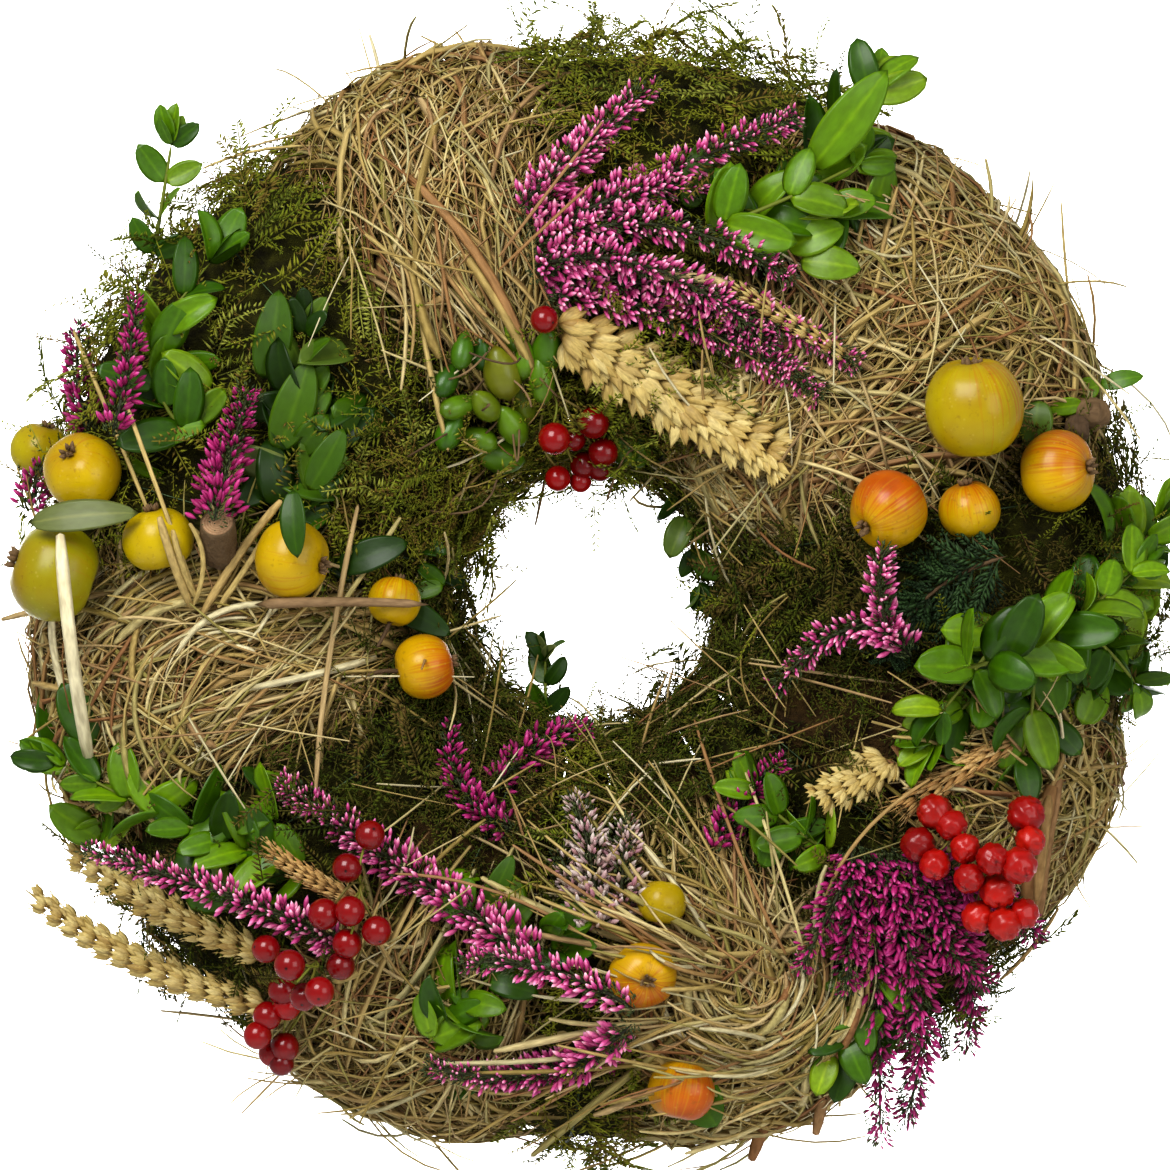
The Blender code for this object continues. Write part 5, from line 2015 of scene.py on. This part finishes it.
PINK, DEEP, PALE = Plant.HEATHER_PINK, Plant.HEATHER_DEEP, Plant.HEATHER_WHITE
HEATHERS = (
    Heather("heather_left_outer", (Route((-146, 48), (-141, 70), (-139, 91)),), "heather_left_outer", DEEP,
            2.6, 4.6, seed=31),
    Heather("heather_left_inner", (Route((-114, 22), (-110, 42), (-104, 63)),), "heather_left_inner", DEEP,
            reach=7.6, density=3.5, seed=32),
    Heather("heather_low_left", (Route((-74, -107), (-112, -91), (-155, -78)),), "heather_low_left", seed=33),
    Heather("heather_bottom_white",
            (Route((3, -103), (0, -80), (-5, -62)), Route((8, -100), (10, -84), (10, -68)),
             Route((0, -104), (-4, -92), (-10, -78))),
            "heather_bottom_white", PALE, reach=7.5, density=4.2, seed=34),
    Heather("heather_bottom_long", (Route((-14, -113), (-56, -84), (-96, -57)),), "heather_bottom_long",
            reach=8.0, density=4.2, seed=35),
    Heather("heather_bottom_fan",
            (Route((14, -126), (-14, -113), (-40, -112)), Route((13, -130), (-14, -146), (-50, -144))),
            "heather_bottom_fan", reach=6.0, density=2.8, seed=36),
    Heather("heather_inner_right",
            (Route((98, -19), (80, -10), (56, -29)), Route((94, -17), (88, 0), (90, 15))),
            "heather_inner_right", reach=5.5, density=2.6, seed=37),
    Heather("heather_droop",
            (Route((84, -77), (88, -119), (90, -170)), Route((88, -79), (101, -126), (98, -164)),
             Route((92, -78), (114, -108), (117, -141)), Route((96, -77), (122, -92), (138, -105)),
             Route((82, -80), (74, -95), (64, -115)), Route((86, -78), (95, -110), (98, -138)),
             Route((90, -78), (106, -104), (124, -120)), Route((80, -76), (80, -100), (78, -122))),
            "heather_droop", DEEP, reach=7.0, density=3.0, lift=-0.1, seed=38),
    Heather("heather_top",
            (Route((-20, 112), (0, 139), (20, 157)), Route((-16, 108), (28, 131), (64, 146)),
             Route((-19, 105), (20, 113), (62, 96)), Route((-20, 98), (26, 92), (71, 61)),
             Route((-22, 118), (-6, 134), (6, 142)), Route((-18, 108), (10, 122), (36, 124)),
             Route((-18, 100), (18, 100), (56, 76)), Route((-14, 92), (26, 85), (70, 60)),
             Route((-10, 96), (38, 91), (82, 70))), "heather_top",
            reach=6.6, density=2.9, seed=39),
    Heather("heather_inner_low",
            (Route((-22, -73), (-39, -60), (-43, -39)), Route((12, -135), (-16, -147), (-50, -144)),
             Route((37, -79), (46, -64), (60, -50)), Route((-30, -60), (-15, -46), (0, -42)),
             Route((-154, 50), (-159, 66), (-158, 84)), Route((-173, 27), (-172, 34), (-169, 41), (4, 7, 7))),
            "", DEEP, seed=40),
)
BOXES = (
    BoxSprig("box_left", (Route((-121, 48), (-133, 72), (-115, 104)),), "box_sprig_left", 7, 21, seed=51,
             fillers=((-128, 66, 8, 9),)),
    BoxSprig("box_inner_left", (Route((-88, 30), (-90, 50), (-87, 82)),), "box_sprig_inner_left", 7, 21,
             plant=Plant.DARK_LEAF, seed=52, fillers=((-84, 55, 9, 14), (-86, 30, 7, 9))),
    BoxSprig("box_low_left", (Route((-84, -84), (-121, -72), (-164, -51)),), "box_sprig_low_left", 9, 20,
             seed=53, fillers=((-112, -76, 12, 16), (-150, -60, 9, 10))),
    BoxSprig("box_bottom", (Route((-50, -138), (-36, -122), (-12, -103)),), "box_sprig_bottom", 6, 19,
             seed=54, fillers=((-42, -126, 8, 7), (-24, -100, 8, 5))),
    BoxSprig("box_right", (Route((112, -22), (136, -14), (168, 8)),), "box_sprig_right", 8, 21, slim=0.31,
             seed=55, fillers=((134, -30, 11, 14), (160, -14, 9, 10))),
    BoxSprig("box_top", (Route((36, 110), (62, 124), (88, 156)),), "box_sprig_top", 6, 25, seed=56,
             fillers=((78, 112, 6, 6),)),
    BoxSprig("box_top_front", (Route((38, 112), (60, 121), (82, 132), (13, 17, 16)),), "", 3, 22, crowd=0.1,
             seed=50),
    BoxSprig("box_outside_left", (Route((-136, 104), (-133, 122), (-130, 141), (0, 0, 0)),), "", 4, 16,
             seed=57),
    BoxSprig("box_hole", (Route((28, 36), (31, 20), (34, 3), (-4, -8, -12)),
                          Route((-14, -51), (-14, -33), (-14, -20), (-10, -16, -20))), "", 4, 14,
             plant=Plant.DARK_LEAF, seed=58, fillers=((-48, 4, 4, 4), (-84, 8, 5, 4))),
    BoxSprig("box_right_more", (Route((146, -14), (124, -26), (105, -45)),
                                Route((152, -8), (167, 11), (177, 23))),
             "", 5, 20, slim=0.31, seed=59, fillers=((165, 4, 6, 8), (160, 24, 6, 5))),
    BoxSprig("box_right_front",
             (Route((146, -6), (158, -16), (169, -28), (9, 13, 13)),
              Route((127, -10), (118, -22), (107, -36), (10, 14, 12)),
              Route((135, -18), (135, -34), (132, -50), (9, 13, 9))), "", 3, 19, slim=0.3, crowd=0.1,
             seed=49),
    BoxSprig("box_low_right",
             (Route((74, -79), (62, -71), (50, -60)), Route((90, -113), (81, -132), (74, -141))),
             "", 4, 18, seed=60, fillers=((60, -74, 5, 5), (80, -132, 5, 5))),
)
EARS = (
    Ear("ear_big", Route((-11, 82), (28, 60), (65, 37)), "ear_big", 10, 14.5, spread_to=68.0, per_fan=8,
        seed=61),
    Ear("ear_left_upper", Route((-101, -110), (-133, -96), (-166, -78)), "ear_left_upper", 11, 8.5,
        spread_to=42.0, awn=3.0, per_fan=5, seed=62),
    Ear("ear_left_lower", Route((-98, -127), (-140, -113), (-178, -91)), "ear_left_lower", 13, 8.5,
        spread_to=34.0, awn=3.0, per_fan=5, seed=63),
    Ear("ear_stub", Route((93, -50), (80, -57), (65, -64)), "ear_stub", 5, 9.0, seed=64),
    Ear("ear_grass", Route((130, -45), (113, -54), (93, -67)), "ear_grass", 9, 9.0, spread_to=22.0,
        width=0.12, awn=6.0, per_fan=4, plant=Plant.RED_EAR, seed=65),
    Ear("ear_thin_top", Route((78, 73), (59, 85), (40, 96), (6, 8, 8)), "", 10, 6.0, spread_to=20.0,
        width=0.14, per_fan=4, seed=66),
    Ear("ear_gold_left", Route((-67, -96), (-84, -87), (-101, -76), (8, 9, 9)), "", 10, 6.0, spread_to=22.0,
        width=0.13, per_fan=4, awn=3.0, plant=Plant.RED_EAR, seed=67),
)
BUNCHES = (
    BerryBunch("berry_single", ((-14, 84, 4.3),), (-18, 84), "berry_single", seed=71),
    BerryBunch("berries_over_hole",
               ((-11, 48, 5.0), (1, 53, 5.0), (4, 44, 4.7), (-2, 40, 4.3), (-10, 36, 4.0), (3, 39, 4.0),
                (-5, 48, 3.7), (-3, 35, 3.4)), (-12, 62), "berries_over_hole", seed=72),
    BerryBunch("berries_lower_left",
               ((-67, -73, 4.6), (-74, -83, 4.6), (-81, -97, 4.9), (-73, -96, 4.7), (-74, -106, 4.6),
                (-76, -113, 4.4), (-65, -102, 4.6)), (-70, -88), "berries_lower_left", seed=73),
    BerryBunch("berries_low_outer",
               ((-99, -108, 4.4), (-91, -112, 4.8), (-94, -121, 4.8), (-87, -122, 4.4), (-93, -126, 4.4),
                (-82, -120, 4.6), (-99, -129, 4.5), (-102, -135, 4.4), (-94, -139, 4.6), (-98, -141, 4.2),
                (-95, -144, 4.0)), (-84, -112), "berries_low_outer", seed=74),
    BerryBunch("berries_right_upper",
               ((105, -66, 5.4), (100, -76, 5.4), (110, -70, 4.8), (105, -82, 4.8), (114, -77, 4.6)),
               (112, -66), "berries_right_upper", Plant.SCARLET, 0.12, 75),
    BerryBunch("berries_right_lower",
               ((133, -67, 5.8), (134, -75, 4.6), (130, -82, 5.6), (122, -80, 5.0), (124, -90, 5.6),
                (115, -86, 4.6), (118, -98, 4.9), (126, -100, 5.2), (132, -97, 4.7)),
               (122, -76), "berries_right_lower",
               Plant.SCARLET, 0.12, 76),
)
APPLES = (
    Apple("apple_left_back", (0.3, -0.2, 1.0), 0.25, 0.35, seed=81),
    Apple("apple_left_top", (-0.35, -0.75, 0.55), 0.55, 0.45, seed=82),
    Apple("apple_left_outer", (-0.9, -0.1, 0.3), 0.05, 0.35, (0.9, -0.3, 0.6), seed=83),
    Apple("apple_left_mid", (-0.2, -0.1, 1.0), 0.45, 0.2, seed=84),
    Apple("apple_left_stub", (0.95, -0.4, -0.2), 0.62, 0.45, (-0.5, -0.5, -0.9), seed=85),
    Apple("apple_inner_small", (0.2, 0.2, 1.0), 0.6, 0.7, (0.2, -0.2, 1.0), True, 86),
    Apple("apple_inner_blush", (0.9, 0.1, 0.2), 0.8, 1.0, (1.0, -0.2, -0.1), True, 87),
    Apple("apple_right_big", (-0.1, -0.25, 1.0), 0.3, 0.62, (0.9, -0.1, 0.5), seed=88, tall=1.08),
    Apple("apple_right_outer", (0.9, -0.45, 0.1), 0.75, 0.85, (0.3, -0.5, 0.8), seed=89),
    Apple("apple_right_red", (-0.7, -0.5, -0.5), 0.8, 1.1, (0.1, -0.4, 1.0), seed=90),
    Apple("apple_right_hidden", (-0.2, -0.2, 1.0), 0.7, 0.8, seed=91),
    Apple("apple_bottom_small", (0.1, 0.1, 1.0), 0.35, 0.3, seed=92),
    Apple("apple_bottom_brown", (0.15, -1.0, -0.15), 0.8, 0.9, (0.0, -0.3, -1.0), seed=93),
    Apple("apple_bottom_low", (0.2, 0.1, 1.0), 0.95, 1.1, (0.5, -0.6, -0.5), seed=94),
)
PODS = Pods("green_pods", (
    (-39, 75, 80), (-33, 74, 98), (-44, 66, 60), (-27, 68, 105), (-20, 72, 85), (-32, 58, 130),
    (-40, 58, 20), (-15, 66, 95), (-21, 60, 100), (-34, 48, 155), (-28, 43, 168),
    (10, 48, 100), (15, 45, 80), (-43, 50, 60), (-24, 52, 120), (-13, 75, 88), (-24, 79, 98)))
LEAVES = (
    SingleLeaves("bright_single_leaves", (
        (67, 130, 52, 39, 0.18, 0.5, 12), (50, 110, 120, 24, 0.2, 0.3, 8),
        (60, 106, 20, 19, 0.3, 0.6, 8), (64, 102, -8, 19, 0.3, 0.9, 10),
        (56, 112, 48, 22, 0.27, 0.3, 6), (48, 104, 95, 20, 0.28, 0.2, 5),
        (72, 118, 10, 16, 0.3, 0.7, 10), (158, 65, 190, 9, 0.42, 0.6, 6),
        (158, 65, 12, 14, 0.22, 0.4, 5), (152, 59, 186, 12, 0.25, 0.6, 5),
        (30, -148, -60, 18, 0.4, 0.3, 2), (-152, -46, 120, 22, 0.3, 0.1, 3),
        (-166, -50, 95, 24, 0.25, 0.2, 1), (-10, -106, 50, 20, 0.24, 0.3, 8),
        (-44, -100, 60, 16, 0.3, 0.4, 6)), Plant.BOX_LEAF),
    SingleLeaves("dark_single_leaves", (
        (-171, 22, 5, 34, 0.15, 0.99, 46), (30, 118, 78, 22, 0.24, 0.6, 4),
        (-90, 32, -86, 21, 0.2, 0.45, 30), (-86, 32, 60, 22, 0.22, 0.6, 12),
        (-78, 8, 20, 24, 0.22, 0.2, 3), (-62, -2, -28, 22, 0.2, 0.2, 3),
        (-96, 44, 70, 30, 0.22, 0.7, 5), (-100, 66, 80, 28, 0.22, 0.6, 5),
        (82, -138, -110, 20, 0.25, 0.4, 2), (138, 60, -95, 16, 0.35, 0.8, 2),
        (-32, -95, 62, 18, 0.2, 0.6, 8), (-28, -103, 40, 15, 0.22, 0.7, 8)), Plant.DARK_LEAF),
)
CYPRESS = Cypress("cypress_sprig", Route((127, 12), (105, 1), (93, -16)))
STRAWS = LooseStraws((
    (((-154, -54), (-157.5, -17), (-161, 19), (6, 38, 42)), 2.1, 0.99),
    (((-154, -54), (-164, -24), (-165, -5), (5, 10, 20)), 1.2, 0.97),
    (((-119, -6), (-106, 14), (-94, 29), (6, 12, 16)), 1.3, 0.47),
    (((-114, -4), (-104, 10), (-98, 20), (6, 11, 14)), 1.0, 0.4),
    (((-122, -4), (-127, 10), (-131, 24), (6, 18, 24)), 1.3, 0.46),
    (((-120, -2), (-124, 8), (-127, 20), (6, 16, 22)), 1.0, 0.38),
    (((-122, -4), (-118, 10), (-122, 22), (6, 14, 20)), 0.8, 0.42),
    (((-120, -2), (-131, 30), (-143, 62), (6, 20, 24)), 0.7, 0.45),
    (((-84, -14), (-70, 6), (-58, 24), (6, 8, 12)), 0.8, 0.8),
    (((-160, 82), (-150, 60), (-133, 20), (9, 10, 6)), 0.7, 0.4),
    (((-84, -60), (-80, -20), (-71, 28), (5, 6, 8)), 0.9, 0.65),
    (((-60, 132), (-32, 100), (-16, 62), (4, 8, 9)), 1.5, 0.55),
    (((0, -105), (-30, -90), (-60, -85), (14, 15, 12)), 0.5, 0.6),
    (((40, -112), (16, -100), (-10, -82), (10, 13, 12)), 0.7, 0.75),
    (((38, -106), (20, -96), (10, -90), (10, 14, 14)), 1.1, 0.85),
    (((36, -116), (0, -92), (-24, -76), (12, 15, 14)), 0.55, 0.6),
    (((34, -128), (4, -142), (-40, -170), (10, 12, 9)), 0.6, 0.3),
    (((60, -110), (46, -80), (32, -38), (8, 10, 8)), 0.6, 0.55),
    (((66, -112), (58, -84), (46, -50), (8, 10, 8)), 0.55, 0.75),
    (((72, -92), (84, -72), (104, -56), (8, 12, 12)), 0.6, 0.5),
    (((84, 172), (86, 140), (84, 112), (5, 9, 9)), 0.5, 0.6),
    (((18, 97), (30, 97), (42, 95), (13, 14, 12)), 1.5, 0.7),
    (((-28, 103), (-12, 124), (4, 145), (13, 17, 13)), 0.5, 0.6),
    (((-28, 99), (-14, 112), (1, 126), (14, 18, 15)), 0.5, 0.55),
    (((118, -84), (113, -74), (112, -64), (14, 16, 17)), 1.2, 0.85),
    (((62, -148), (56, -160), (50, -176), (2, 2, 0)), 2.0, 0.58),
    (((80, -132), (74, -150), (70, -168), (2, 2, 0)), 1.8, 0.6),
), (
    StrawNest((48, -116), (10, 42), (195, 350), 300, 7.0),
    StrawNest((-108, -34), (14, 52), (75, 215), 120, 5.0),
    StrawNest((96, 122), (12, 44), (150, 330), 90, 4.0),
    StrawFan((38, -108), (120, 170), (30, 66), 34, lift=4.0),
    StrawFan((34, -130), (180, 225), (30, 70), 26, lift=4.0),
    StrawFan((52, -150), (150, 200), (22, 46), 26, lift=14.0),
    StrawFan((44, -112), (135, 185), (20, 44), 18, lift=12.0),
    StrawFan((60, -120), (60, 110), (20, 42), 10),
    StrawFan((-108, -4), (40, 130), (18, 42), 22),
    StrawFan((-130, -20), (150, 250), (20, 50), 16),
    StrawFan((-62, -138), (150, 230), (16, 40), 18, 0.35),
    StrawFan((-60, -112), (30, 150), (20, 45), 12),
    StrawFan((-48, 110), (270, 330), (30, 65), 22, 0.6),
    StrawFan((96, 96), (60, 170), (20, 50), 26, 0.4),
    StrawFan((114, 82), (-20, 60), (12, 34), 24, 0.3),
    StrawFan((133, -75), (200, 280), (16, 40), 24, 0.35),
    StrawFan((140, -62), (90, 180), (20, 50), 14),
    StrawFan((60, 60), (200, 340), (20, 45), 16),
    StrawFan((-66, 136), (20, 110), (16, 34), 16, 0.35),
))


def main() -> None:
    """Build the wreath, then its studio."""
    logging.basicConfig(level=logging.INFO, format="%(message)s")
    StrawRing().build()
    for part in HAY + MOSS + HEATHERS + BOXES + LEAVES + EARS + BUNCHES + APPLES:
        part.build()
    for part in (PODS, CYPRESS, Woodwork(), STRAWS, Hanger(), Studio()):
        part.build()


if __name__ == "__main__":
    main()
